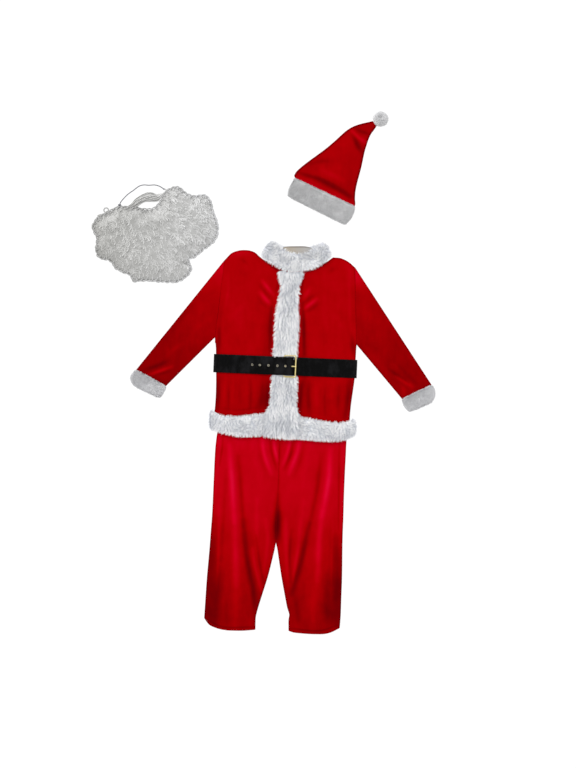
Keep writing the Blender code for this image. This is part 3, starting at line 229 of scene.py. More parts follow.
SLEEVE_FOLDS = (
    # the right sleeve
    (147, 375.5, 158, 372, 173, 366.5, 1.9, 2.6, 0.60),
    (146, 369.5, 157, 366, 168, 361, 2.3, -1.2, -0.48),
    (157, 374.5, 164, 373, 170, 371, 1.6, -0.8, -0.28),
    (159, 381, 163, 383.5, 168, 381, 2.6, -0.4, -0.26),
    (168, 357, 175, 349, 186, 342, 2.8, 1.6, 0.18),
    (150, 357, 168, 335, 190, 306, 5.5, 0.8, -0.14),
    (196, 300, 206, 290, 216, 276, 6.0, 0.8, 0.04),
    (190, 337, 200, 326, 213, 318, 3.2, 0.9, 0.08),
    (166, 339, 182, 318, 204, 290, 2.6, -0.6, -0.12),
    (216, 264, 221, 266, 223, 276, 4.0, 0.9, 0.22),
    # the left one
    (354, 268, 356, 275, 360, 285, 4.4, 1.2, 0.50),
    (352, 290, 354, 315, 356, 340, 5.0, 0.5, -0.06),
    (397, 376.5, 404, 381.5, 412, 387, 2.2, 2.6, 0.55),
    (389, 369.5, 397, 375, 408, 382.5, 1.8, -1.2, -0.44),
    (398, 366, 407, 375, 417, 384, 2.0, -0.9, -0.30),
    (402, 386, 404, 391, 404, 396, 2.4, 0.9, 0.24),
    (393, 364, 402, 371, 414, 381, 1.5, 1.0, 0.14),
    (372, 300, 388, 328, 408, 362, 5.0, 0.6, -0.10),
    (362, 345, 374, 358, 390, 378, 3.0, 0.8, 0.10),
)

HAT_FOLDS = (
    (350.5, 129.5, 356.5, 136, 364, 143, 1.9, 3.0, 0.62),
    (361, 138, 364.5, 141.5, 367, 145, 1.9, 1.2, 0.42),
    (353.5, 136, 357.5, 145, 361.5, 152, 2.5, -1.8, -0.70),
    (356, 129, 362, 132, 369, 134, 2.2, -1.2, -0.48),
    (300.5, 173.5, 320, 180, 351, 197, 2.0, -1.4, -0.62),
    (316, 176, 331, 183, 346, 192, 1.3, -0.8, -0.30),
    (302, 178, 322, 187, 350, 201, 1.9, 1.8, 0.22),
    (322, 170, 331, 175, 343, 181, 3.2, 1.4, 0.30),
    (307, 165.5, 318, 162, 331, 161, 2.2, -0.7, -0.24),
    (330, 146, 334, 156, 337, 172, 6.0, 0.8, 0.08),
    (352, 156, 350, 172, 348, 190, 5.0, 0.4, -0.10),
    (353.5, 199, 355, 203, 352, 206, 1.8, 1.0, 0.30),
    # painted highlight along the seam with the brim
    (294.5, 176.8, 325, 191.2, 354.7, 205.3, 0.7, 0.3, 0.95),
    # shade along the brim and in the corner
    (292, 170, 322, 184, 352, 199, 3.4, 0.0, -0.13),
    (340, 188, 346, 194, 351, 200, 4.0, 0.0, -0.20),
)
HAT_SEAM = ((294.9, 177.85), (354.7, 206.2))  # where the hat meets its brim, in the plan's grid

# Painted shading of the plush, the same without a height: shade along creases and partings below zero,
# highlight along seams above zero
PLUSH_FOLDS = (
    # placket
    (297, 284, 290, 290, 282, 296, 2.6, -1.10),
    (299, 262, 301, 272, 301, 284, 1.6, -0.50),
    (276, 290, 273, 310, 272, 340, 1.4, -0.40),
    (286, 385, 290, 393, 284, 402, 2.4, -0.60),
    (276, 386, 274, 395, 277, 404, 2.4, -0.55),
    (296, 384, 293, 396, 294, 408, 1.8, -0.45),
    (291, 274, 291, 290, 289, 306, 8.0, -0.28),
    (283, 382, 282, 394, 281, 406, 7.0, 0.12),
    # where it crosses the hem
    (265.4, 413, 265, 425, 266, 437, 1.2, -0.95),
    (288, 412, 288.6, 425, 288, 438, 1.3, -1.10),
    (298.4, 412, 299, 425, 298, 438, 1.3, -1.10),
    (267, 421.4, 280, 421.8, 297, 422.4, 0.7, -0.80),
    (267, 428.6, 280, 429.0, 297, 429.8, 0.7, -0.80),
    (266, 413.5, 282, 414.5, 298, 415.5, 0.8, -0.40),
    # the hem, greyer all along, and its ends
    (208, 423, 290, 427, 366, 432, 8.0, -0.26),
    (302, 428, 330, 430, 350, 431, 6.0, -0.10),
    (211, 413, 211.5, 422, 213.5, 431, 2.6, -0.95),
    (222, 428, 240, 431, 258, 433, 1.2, -0.55),
    (346.5, 428, 348, 433, 346, 438, 1.8, -1.20),
    (353.5, 420, 354.5, 428, 352, 436, 2.0, -1.00),
    (305, 436, 325, 437.5, 344, 437, 1.3, -0.60),
    # collar
    (270, 243, 268, 252, 266, 259, 3.2, -0.75),
    (277, 249, 282, 256, 288, 258, 1.6, -0.60),
    (326, 246, 325, 254, 318, 262, 2.6, -0.50),
    (300, 258, 308, 259, 316, 256, 1.6, -0.40),
    # painted highlight along the brim's seam, and painted shade and highlight of soft dents in the brim
    (296.5, 180.4, 324, 193.4, 353.5, 207.4, 0.6, 1.30),
    (297, 184, 315, 193, 338, 202, 2.4, 0.35),
    (318, 200, 332, 207, 346, 213, 1.6, -0.40),
    (333, 214, 340, 213, 347, 207, 1.2, 0.50),
    # painted highlight along the cuffs' seams
    (137.5, 370.5, 150, 375.5, 164.5, 386.0, 0.7, 1.00),
    (403.5, 398.5, 414, 392.0, 430, 385.8, 0.7, 1.00),
)


# ---- Node trees, written as calls and sums ----

LIGHT = 1.40  # how bright a white surface looks here when nothing shades it


class Wire:
    """A node's output, which Python's operators turn into Math nodes."""

    def __init__(self, graph, socket):
        self.graph = graph
        self.socket = socket

    def out(self, name):
        """Another output of the same node."""
        return Wire(self.graph, self.socket.node.outputs[name])

    def math(self, operation, *others):
        return self.graph.node("ShaderNodeMath", {"operation": operation}, (self, *others))

    def clamp(self):
        return self.graph.node("ShaderNodeClamp", {}, (self,))

    def __add__(self, other):
        return self.math("ADD", other)

    __radd__ = __add__

    def __mul__(self, other):
        return self.math("MULTIPLY", other)

    __rmul__ = __mul__

    def __sub__(self, other):
        return self.math("SUBTRACT", other)

    def __rsub__(self, other):
        return self.graph.node("ShaderNodeMath", {"operation": "SUBTRACT"}, (other, self))

    def __truediv__(self, other):
        return self.math("DIVIDE", other)

    def __rtruediv__(self, other):
        return self.graph.node("ShaderNodeMath", {"operation": "DIVIDE"}, (other, self))


class Graph:
    """A shader or geometry tree. One method adds any node."""

    def __init__(self, tree):
        self.tree = tree

    def node(self, kind, settings=None, sockets=(), output=0):
        made = self.tree.nodes.new(kind)
        for name, value in (settings or {}).items():
            if name == "stops":
                self.set_stops(made.color_ramp, value)
            else:
                setattr(made, name, value)
        named = sockets.items() if isinstance(sockets, dict) else enumerate(sockets)
        for key, value in named:
            self.feed(made.inputs[key], value)
        return Wire(self, made.outputs[output]) if made.outputs else made

    def feed(self, socket, value):
        if isinstance(value, Wire):
            self.tree.links.new(value.socket, socket)
        elif socket.type == "RGBA" and len(value) == 3:
            socket.default_value = (*value, 1.0)
        else:
            socket.default_value = value

    @staticmethod
    def set_stops(ramp, stops):
        while len(ramp.elements) < len(stops):
            ramp.elements.new(1.0)
        for element, (place, colour) in zip(ramp.elements, stops):
            element.position = place
            element.color = (*colour, 1.0)

    def vector(self, operation, *values):
        return self.node("ShaderNodeVectorMath", {"operation": operation}, values)

    def blend(self, factor, first, second, how="MIX"):
        """Two colours mixed."""
        settings = {"data_type": "RGBA", "blend_type": how}
        return self.node("ShaderNodeMix", settings, {0: factor, 6: first, 7: second}, output=2)

    def noise(self, place, scale, detail=2.0, roughness=0.5, output=0):
        sockets = {"Vector": place, "Scale": scale, "Detail": detail, "Roughness": roughness}
        return self.node("ShaderNodeTexNoise", {}, sockets, output)

    def cells(self, place, scale):
        """Distance from the middle of the cell that a place is in."""
        sockets = {"Vector": place, "Scale": scale}
        return self.node("ShaderNodeTexVoronoi", {"feature": "F1"}, sockets, "Distance")


def linear(red, green, blue):
    """A display colour, 0 to 255, as linear light."""
    values = np.array((red, green, blue)) / 255
    return tuple(float(v / 12.92 if v < 0.04045 else ((v + 0.055) / 1.055) ** 2.4) for v in values)


def lit(red, green, blue):
    """The surface colour that looks like this display colour in the scene's light."""
    return tuple(v / LIGHT for v in linear(red, green, blue))


def new_material(name, colour):
    """An empty material and its graph. colour is what a plain view shows."""
    made = bpy.data.materials.new(name)
    made.use_nodes = True
    made.node_tree.nodes.clear()
    made.diffuse_color = (*colour, 1.0)
    return made, Graph(made.node_tree)


def finish_material(graph, sockets):
    """The principled shader with these sockets, as the material's surface."""
    shader = graph.node("ShaderNodeBsdfPrincipled", {}, sockets)
    graph.node("ShaderNodeOutputMaterial", {}, {"Surface": shader})


def object_place(graph):
    return graph.node("ShaderNodeTexCoord", {}, output="Object")


def attribute(graph, name):
    return graph.node("ShaderNodeAttribute", {"attribute_name": name}, output="Fac")


def bump(graph, height, strength, distance):
    return graph.node("ShaderNodeBump", {}, {"Strength": strength, "Distance": distance, "Height": height})


# ---- Finishes ----

# Tones of the velour: the middle stop is its own red, the darker ones paint shade and the pinker ones paint
# sheen.
VELOUR_STOPS = (
    (0.00, lit(78, 0, 3)), (0.20, lit(112, 0, 4)), (0.36, lit(146, 0, 3)), (0.50, lit(178, 0, 6)),
    (0.64, lit(196, 0, 18)), (0.80, lit(214, 0, 34)), (1.00, lit(226, 14, 56)),
)


def velour_material(name, lift):
    """Short pile: its painted shading picks a tone, painted shade below its own red and painted sheen above
    it, with random patches. lift raises its tone.
    """
    made, graph = new_material(name, linear(180, 0, 8))
    place = object_place(graph)
    patches = graph.noise(place, 11.0, 3.0, 0.6)
    drift = graph.noise(graph.vector("MULTIPLY", place, (1.0, 0.35, 1.0)), 46.0, 3.0, 0.6)
    fibre = graph.noise(place, 900.0, 2.0, 0.7)
    uneven = (patches - 0.5) * 0.16 + (drift - 0.5) * 0.10 + (fibre - 0.5) * 0.10
    # painted shade and highlight of folds and edges, with random unevenness
    tone = attribute(graph, "nap") * 0.5 + uneven
    colour = graph.node("ShaderNodeValToRGB", {"stops": VELOUR_STOPS}, (tone + (0.5 + lift),))
    pile = bump(graph, fibre + graph.noise(place, 260.0, 3.0, 0.6) * 0.8, 0.35, 0.0006)
    finish_material(
        graph,
        {
            "Base Color": colour,
            "Roughness": 0.86,
            "Normal": pile,
            "Specular IOR Level": 0.0,
            "Sheen Weight": 0.06,
            "Sheen Roughness": 0.35,
            "Sheen Tint": (1.0, 0.0, 0.10, 1.0),
        },
    )
    return made


def plush_material(name, root, tip, patch, parting=0.50):
    """White pile in three display colours: painted shade among its roots and between tufts, greyer patches
    where it parts, and the painted shade and highlight of PLUSH_FOLDS.
    """
    root, tip, patch = linear(*root), linear(*tip), linear(*patch)
    made, graph = new_material(name, tip)
    place = object_place(graph)
    clouds = graph.noise(place, 26.0, 3.0, 0.55)
    curls = graph.noise(place, 115.0, 2.0, 0.6)
    along = attribute(graph, "tip")
    tuft = attribute(graph, "tuft")
    white = graph.blend((along * 1.15).clamp(), root, tip)
    # painted shade from PLUSH_FOLDS greys the pile, and their painted highlight lightens it
    fold = attribute(graph, "nap")
    shade = ((clouds - 0.45) * 2.6 + (curls - 0.5) * 0.8 + (0.60 - tuft) * 0.8 - fold * 1.4).clamp()
    colour = graph.blend(shade * parting, white, patch, "MULTIPLY")
    colour = graph.blend(fold.clamp() * 0.7, colour, (0.80, 0.80, 0.80))
    finish_material(
        graph,
        {
            "Base Color": colour,
            "Roughness": 0.80,
            "Specular IOR Level": 0.22,
            "Sheen Weight": 0.15,
            "Sheen Roughness": 0.5,
            "Normal": bump(graph, graph.noise(place, 480.0, 3.0, 0.6), 0.35, 0.0012),
        },
    )
    return made


def curl_material(name, root, tip):
    """Glossy white hair in two display colours, with a fine grain, a little yellower to the left."""
    root, tip = linear(*root), linear(*tip)
    made, graph = new_material(name, tip)
    place = object_place(graph)
    clouds = graph.noise(place, 22.0, 3.0, 0.55)
    grain = graph.noise(place, 640.0, 2.0, 0.6)
    along = attribute(graph, "tip")
    tuft = attribute(graph, "tuft")
    strand = graph.blend((along * 0.85 + tuft * 0.35).clamp(), root, tip)
    shade = ((clouds - 0.40) * 2.0 + (grain - 0.5) * 0.8).clamp()
    colour = graph.blend(shade * 0.5, strand, linear(204, 205, 202), "MULTIPLY")
    side = graph.node("ShaderNodeSeparateXYZ", {}, (place,))
    colour = graph.blend((1 - (side + 0.70) * 2.4).clamp() * 0.75, colour, linear(214, 213, 208), "MULTIPLY")
    finish_material(
        graph,
        {
            "Base Color": colour,
            "Roughness": 0.22 + grain * 0.2,
            "Specular IOR Level": 0.75,
            "Normal": bump(graph, grain, 0.4, 0.0010),
        },
    )
    return made


def vinyl_material():
    """Black satin vinyl with a fine grain, creased and rubbed a little; lighter along its creases as painted
    sheen and in rubbed patches as wear with painted sheen.
    """
    made, graph = new_material("black_vinyl", (0.006, 0.006, 0.007))
    place = object_place(graph)
    grain = graph.cells(place, 900.0)
    creases = graph.noise(graph.vector("MULTIPLY", place, (1.0, 0.5, 1.0)), 30.0, 4.0, 0.58)
    rubbed = graph.noise(place, 17.0, 3.0, 0.6)
    sheen_and_wear = ((creases - 0.46) * 4.0 + (rubbed - 0.5) * 2.0).clamp()
    colour = graph.blend(sheen_and_wear, (0.0002, 0.0002, 0.0003), (0.0068, 0.0068, 0.0078))
    relief = grain * 0.06 + creases
    finish_material(
        graph,
        {
            "Base Color": colour,
            "Roughness": 0.30 + rubbed * 0.16,
            "Normal": bump(graph, relief, 1.0, 0.0060),
            "Specular IOR Level": 0.06,
        },
    )
    return made


def metal_material(name, colour, dull, roughness, grain_scale):
    """Metal with faint brushing and a duller film in patches."""
    made, graph = new_material(name, colour)
    place = object_place(graph)
    film = graph.noise(place, 120.0, 3.0, 0.6)
    brush = graph.noise(graph.vector("MULTIPLY", place, (1.0, 9.0, 1.0)), grain_scale, 2.0, 0.6)
    finish_material(
        graph,
        {
            "Base Color": graph.blend((film * 1.8 - 0.6).clamp(), colour, dull),
            "Metallic": 1.0,
            "Roughness": roughness + film * 0.16,
            "Normal": bump(graph, brush, 0.15, 0.0003),
        },
    )
    return made


def elastic_material():
    """Braided elastic: two sets of slanting threads."""
    made, graph = new_material("grey_elastic", linear(104, 104, 110))
    place = graph.vector("MULTIPLY", object_place(graph), (1.0, 1.0, 2.0))
    one = graph.node("ShaderNodeTexWave", {"bands_direction": "DIAGONAL"}, {"Vector": place, "Scale": 260.0})
    two = graph.node("ShaderNodeTexWave", {"bands_direction": "X"}, {"Vector": place, "Scale": 240.0})
    braid = one * two
    finish_material(
        graph,
        {
            "Base Color": graph.blend(braid, linear(92, 92, 98), linear(142, 142, 148)),
            "Roughness": 0.62,
            "Normal": bump(graph, braid, 0.5, 0.0004),
        },
    )
    return made


# ---- Reading the frame ----


def plan_point(x, y):
    """A place in the plan's grid, in metres."""
    across, down = (x - BUCKLE_AT[0]) * SQUARE, (y - BUCKLE_AT[1]) * SQUARE
    return np.array((BUCKLE_MIDDLE.x + across, BUCKLE_MIDDLE.y - down))


def plan_points(places):
    return np.array([plan_point(*place) for place in places])


def grid_rows(points):
    """Each point's row in the plan's grid, counted down."""
    return BUCKLE_AT[1] - (points[:, 1] - BUCKLE_MIDDLE.y) / SQUARE


def grid_columns(points):
    """Each point's column in the plan's grid."""
    return BUCKLE_AT[0] + (points[:, 0] - BUCKLE_MIDDLE.x) / SQUARE


def welded(name):
    """A node's mesh with its loose triangles joined."""
    work = bmesh.new()
    work.from_mesh(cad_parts[name].data)
    bmesh.ops.remove_doubles(work, verts=work.verts, dist=1e-5)
    work.faces.ensure_lookup_table()
    work.verts.ensure_lookup_table()
    work.normal_update()
    return work


def tree_of(names):
    """One search tree for the surfaces of several nodes."""
    points, faces = [], []
    for name in names:
        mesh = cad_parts[name].data
        start = len(points)
        points += [v.co.copy() for v in mesh.vertices]
        faces += [[start + i for i in p.vertices] for p in mesh.polygons]
    return BVHTree.FromPolygons(points, faces)


def heights(tree, points, start=PROBE, down=True):
    """Height of a tree's surface over each place, felt for from start; nan where there is none."""
    way = Vector((0, 0, -1 if down else 1))
    found = np.full(len(points), np.nan)
    for i, (x, y) in enumerate(points):
        hit = tree.ray_cast(Vector((x, y, start)), way)[0]
        if hit is not None:
            found[i] = hit.z
    return found


def near_tree(points):
    """A tree that finds the points of a plan that are near a place."""
    tree = kdtree.KDTree(len(points))
    for i, p in enumerate(points):
        tree.insert(Vector((*p, 0)), i)
    tree.balance()
    return tree


def units(vectors, least=1e-6):
    """Vectors with their length made 1, or less where they are shorter than least."""
    return vectors / np.maximum(np.linalg.norm(vectors, axis=1), least)[:, None]


def run_of(points):
    """Distance along a line of points to each of them."""
    return np.concatenate([[0.0], np.cumsum(np.linalg.norm(np.diff(points, axis=0), axis=1))])


def evenly(points, step=None, count=None):
    """A line of points read again at even distances."""
    run = run_of(points)
    count = count or max(2, round(run[-1] / step) + 1)
    places = np.linspace(0, run[-1], count)
    return np.column_stack([np.interp(places, run, points[:, k]) for k in range(points.shape[1])])


def smooth_line(points, step):
    """Points about every step along a smooth line through the given ones."""
    points = np.array(points, float)
    knots = np.vstack([2 * points[0] - points[1], points, 2 * points[-1] - points[-2]])
    found = []
    for a, b, c, d in zip(knots, knots[1:], knots[2:], knots[3:]):
        count = max(1, round(float(np.linalg.norm(c - b)) / step))
        for t in np.arange(count) / count:
            cubic = (3 * b - a - 3 * c + d) * t**3
            found.append(0.5 * (2 * b + (c - a) * t + (2 * a - 5 * b + 4 * c - d) * t**2 + cubic))
    found.append(points[-1])
    return np.array(found)


def smoothstep(low, high, value):
    """0 below low, 1 above high and a soft step between them."""
    t = np.clip((value - low) / (high - low), 0.0, 1.0)
    return t * t * (3.0 - 2.0 * t)


def outward(points, closed=True):
    """Unit vectors that point out of a line that turns left."""
    if closed:
        ahead = np.roll(points, -1, axis=0) - np.roll(points, 1, axis=0)
    else:
        ahead = np.gradient(points, axis=0)
    ahead = units(ahead)
    return np.column_stack([ahead[:, 1], -ahead[:, 0]])


CORNER = math.radians(33)  # an outline that turns by more than this has a corner
CORNER_REACH = 0.0070  # the turn is measured over this length on either side
KNOT_STEP = 0.0060  # between the points that a smooth side is drawn through
FACES_UP = 0.02  # a face shows from above where its normal rises by more than this


class Form:
    """A solid of the frame, to build cloth on: its outline from above, its sides and its heights."""

    def __init__(self, name):
        self.name = name
        work = welded(name)
        self.tree = BVHTree.FromBMesh(work)
        self.loop = self.seen_outline(work)
        work.free()

    def seen_outline(self, work):
        """The longest border of the faces that show from above, turning left."""
        shown = []
        for face in work.faces:
            if face.normal.z > FACES_UP:
                centre = face.calc_center_median()
                hit = self.tree.ray_cast(Vector((centre.x, centre.y, PROBE)), Vector((0, 0, -1)))
                if hit[2] == face.index:
                    shown.append(face)
        seen = set(shown)
        follow = {}
        for face in shown:  # in the mesh's order, so that the outline always starts at the same point
            for loop in face.loops:
                if not any(other in seen for other in loop.edge.link_faces if other is not face):
                    follow.setdefault(loop.vert.index, []).append(loop.link_loop_next.vert.index)
        best = []
        while follow:
            start = next(iter(follow))
            chain, at = [start], start
            while at in follow:
                at_next = follow[at].pop()
                if not follow[at]:
                    del follow[at]
                at = at_next
                if at == start:
                    break
                chain.append(at)
            if len(chain) > len(best):
                best = chain
        return np.array([work.verts[i].co[:2] for i in best])

    def sides(self, step):
        """The outline from corner to corner, each side a smooth line with points about every step."""
        loop = self.loop
        run = run_of(np.vstack([loop, loop[:1]]))
        around = np.vstack([loop, loop[:1]])

        def at(places):
            places = np.mod(places, run[-1])
            return np.column_stack([np.interp(places, run, around[:, k]) for k in (0, 1)])

        before = loop - at(run[:-1] - CORNER_REACH)
        after = at(run[:-1] + CORNER_REACH) - loop
        cross = before[:, 0] * after[:, 1] - before[:, 1] * after[:, 0]
        turn = np.abs(np.arctan2(cross, (before * after).sum(1)))
        apart = np.abs(run[:-1][:, None] - run[:-1][None, :])
        near = np.minimum(apart, run[-1] - apart) < 1.5 * CORNER_REACH
        best = np.array([turn[row].max() for row in near])
        corners = np.nonzero((turn > CORNER) & (turn >= best - 1e-9))[0]
        corners = corners if len(corners) else np.array([0])
        found = []
        for a, b in zip(corners, np.roll(corners, -1)):
            index = np.arange(a, b + 1 if b > a else b + 1 + len(loop)) % len(loop)
            points = loop[index]
            length = run_of(points)
            keep = [0]
            for i in range(1, len(points) - 1):
                if length[i] - length[keep[-1]] > KNOT_STEP and length[-1] - length[i] > KNOT_STEP:
                    keep.append(i)
            keep.append(len(points) - 1)
            found.append(evenly(smooth_line(points[keep], step / 4), step))
        return found

    def outline(self, step):
        return np.vstack([side[:-1] for side in self.sides(step)])

    def top(self, points):
        """Height over each place; at the rim, that of the nearest point of the surface."""
        found = heights(self.tree, points)
        for i in np.nonzero(np.isnan(found))[0]:
            found[i] = self.tree.find_nearest(Vector((*points[i], 0.02)))[0].z
        return found


CLOTH_KINDS = ("jacket", "sleeve", "cuff", "collar", "placket", "hem", "trouser", "hat", "pompom")
CLOTH_NODES = [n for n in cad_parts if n.split("_")[0] in CLOTH_KINDS]
STRAP_TREE = tree_of(["belt_strap"])
BEYOND = 0.0035  # how far past an outline the next piece is felt for


def nothing_beyond(points, out, names):
    """1 where no other cloth goes on past the outline, 0 where a piece is sewn on there."""
    others = tree_of(names)
    free = np.isnan(heights(others, points + out * BEYOND)).astype(float)
    for _ in range(2):
        free = (np.roll(free, 1) + free + np.roll(free, -1)) / 3
    return free


# ---- Meshes ----


def make_object(name, points, faces, finish, **attributes):
    """A smooth shaded mesh object at the origin, with float values for its points."""
    mesh = bpy.data.meshes.new(name)
    mesh.from_pydata([tuple(map(float, p)) for p in points], [], [tuple(map(int, f)) for f in faces])
    mesh.materials.append(finish)
    for key, values in attributes.items():
        store(mesh, key, values)
    mesh.shade_smooth()
    obj = bpy.data.objects.new(name, mesh)
    bpy.context.scene.collection.objects.link(obj)
    return obj


def store(mesh, key, values):
    """Keeps one number or one vector for each point of a mesh."""
    values = np.asarray(values, np.float32)
    kind, field = ("FLOAT", "value") if values.ndim == 1 else ("FLOAT_VECTOR", "vector")
    made = mesh.attributes.new(key, kind, "POINT")
    made.data.foreach_set(field, values.ravel())


def face_out(obj):
    """Turns every face of a closed mesh outwards."""
    work = bmesh.new()
    work.from_mesh(obj.data)
    bmesh.ops.recalc_face_normals(work, faces=work.faces)
    if work.calc_volume(signed=True) < 0:
        bmesh.ops.reverse_faces(work, faces=work.faces)
    work.to_mesh(obj.data)
    work.free()
    return obj


def fill(ring, step, tree):
    """Triangles inside a ring of points: the ring's points first, then a staggered grid over the solid."""
    low, high = ring.min(0), ring.max(0)
    grid = []
    pitch = step * 0.87  # between the grid's rows
    for row in range(math.floor(low[1] / pitch), math.ceil(high[1] / pitch) + 1):
        xs = np.arange(low[0] + (0.5 * step if row % 2 else 0.0), high[0], step)
        grid.append(np.column_stack([xs, np.full(len(xs), row * pitch)]))
    grid = np.vstack(grid)
    near = near_tree(ring)
    spacing = float(np.linalg.norm(np.diff(ring, axis=0), axis=1).mean())
    clear = max(0.62 * step, 0.5 * spacing)
    free = np.array([near.find(Vector((*p, 0)))[2] > clear for p in grid])
    grid = grid[free]
    grid = grid[np.isfinite(heights(tree, grid))]
    count = len(ring)
    corners = [Vector(p) for p in np.vstack([ring, grid])]
    rim = [(i, (i + 1) % count) for i in range(count)]
    points, _, faces, origin, *_ = delaunay_2d_cdt(corners, rim, [], 1, 1e-7)
    order = {old: new for new, olds in enumerate(origin) for old in olds}
    rank = np.full(len(points), -1)
    for old in range(count):
        rank[order[old]] = old
    rest = np.nonzero(rank < 0)[0]
    rank[rest] = count + np.arange(len(rest))
    flat = np.zeros((len(points), 2))
    flat[rank] = np.array([p[:] for p in points])
    return flat, [tuple(int(rank[i]) for i in f) for f in faces]


def relax(values, faces, rounds):
    """Values of a mesh's points, each drawn halfway to the mean of its neighbours."""
    tri = np.array(faces)
    a = np.concatenate([tri[:, 0], tri[:, 1], tri[:, 2], tri[:, 1], tri[:, 2], tri[:, 0]])
    b = np.concatenate([tri[:, 1], tri[:, 2], tri[:, 0], tri[:, 0], tri[:, 1], tri[:, 2]])
    count = np.bincount(a, minlength=len(values))
    for _ in range(rounds):
        mean = np.bincount(a, values[b], minlength=len(values)) / np.maximum(count, 1)
        values = values + 0.5 * (mean - values)
    return values


# how strongly the folds' painted shading shows
PAINTED_SHADING_STRENGTH = 0.62


def fold_effect(points, folds):
    """(height, painted shading) that folds give to each place: painted highlight above zero, painted shade
    below.
    """
    height, nap = np.zeros(len(points)), np.zeros(len(points))
    for row in folds:
        fold = Fold(*row)
        knots = plan_points(((fold.x0, fold.y0), (fold.x1, fold.y1), (fold.x2, fold.y2)))
        line = evenly(smooth_line(knots, 0.004), count=13)
        width = fold.width * SQUARE
        low, high = line.min(0) - 3 * width, line.max(0) + 3 * width
        near = np.nonzero(((points > low) & (points < high)).all(1))[0]
        if not len(near):
            continue
        p = points[near]
        a, d = line[:-1], np.diff(line, axis=0)
        t = np.clip(((p[:, None] - a) * d).sum(2) / (d * d).sum(1), 0, 1)
        away = np.linalg.norm(p[:, None] - (a + t[..., None] * d), axis=2)
        best = away.argmin(1)
        row = np.arange(len(p))
        place = (best + t[row, best]) / len(d)
        fade = np.sin(np.pi * (0.10 + 0.80 * place)) ** 0.8
        shape = fade * np.exp(-((away[row, best] / width) ** 2))
        height[near] += fold.height / 1000 * shape
        nap[near] += PAINTED_SHADING_STRENGTH * fold.nap * shape
    return height, nap


def value_noise(points, scale, seed):
    """Smooth noise from -1 to 1 over a plan, with features of about scale."""
    table = np.random.default_rng(seed).uniform(-1, 1, (64, 64))
    p = points / scale
    cell = np.floor(p).astype(int)
    t = p - cell
    t = t * t * (3 - 2 * t)

    def at(dx, dy):
        return table[(cell[:, 0] + dx) % 64, (cell[:, 1] + dy) % 64]

    low = at(0, 0) * (1 - t[:, 0]) + at(1, 0) * t[:, 0]
    high = at(0, 1) * (1 - t[:, 0]) + at(1, 1) * t[:, 0]
    return low * (1 - t[:, 1]) + high * t[:, 1]


def ripples(points, seed):
    """Height of the small waves that velour lies in."""
    return 0.00022 * value_noise(points, 0.021, seed) + 0.00012 * value_noise(points, 0.0085, seed + 1)


BELT_LEVEL = 0.0045  # between the belt's back stretch below and its front above


def under_belt(points, height):
    """Keeps a surface below the strap that lies on it."""
    strap = heights(STRAP_TREE, points, start=BELT_LEVEL, down=False)
    covered = np.isfinite(strap)
    height[covered] = np.minimum(height[covered], strap[covered] - UNDER_STRAP)
    return height


def strip(first, second):
    """Quads between two rings of point numbers."""
    count = len(first)
    return [(first[i], second[i], second[(i + 1) % count], first[(i + 1) % count]) for i in range(count)]


RIM_FADE = 0.0075  # painted shade beside an edge fades out over this width
RIM_FALL = 2.5  # how fast it does


def rim_shade(flat, rim, depth):
    """How dark the pile looks beside an edge, from the depth of the edge's shade at each rim point."""
    near = near_tree(rim)
    shade = np.zeros(len(flat))
    for i, p in enumerate(flat):
        _, index, away = near.find(Vector((*p, 0)))
        if away < 2 * RIM_FADE:
            shade[i] = depth[index] * math.exp(-((away / RIM_FADE) ** 2) * RIM_FALL)
    return shade


def no_shading(points):
    return np.zeros(len(points))


EDGE_SHADE, SEAM_SHADE = -0.34, -0.10  # painted shade on the upper face beside a closed edge and beside a seam
ROLL_SHADE = -0.40  # painted shade on the edge's own round
LEAST_RISE = 0.0002  # between the foot of a panel's edge and its middle


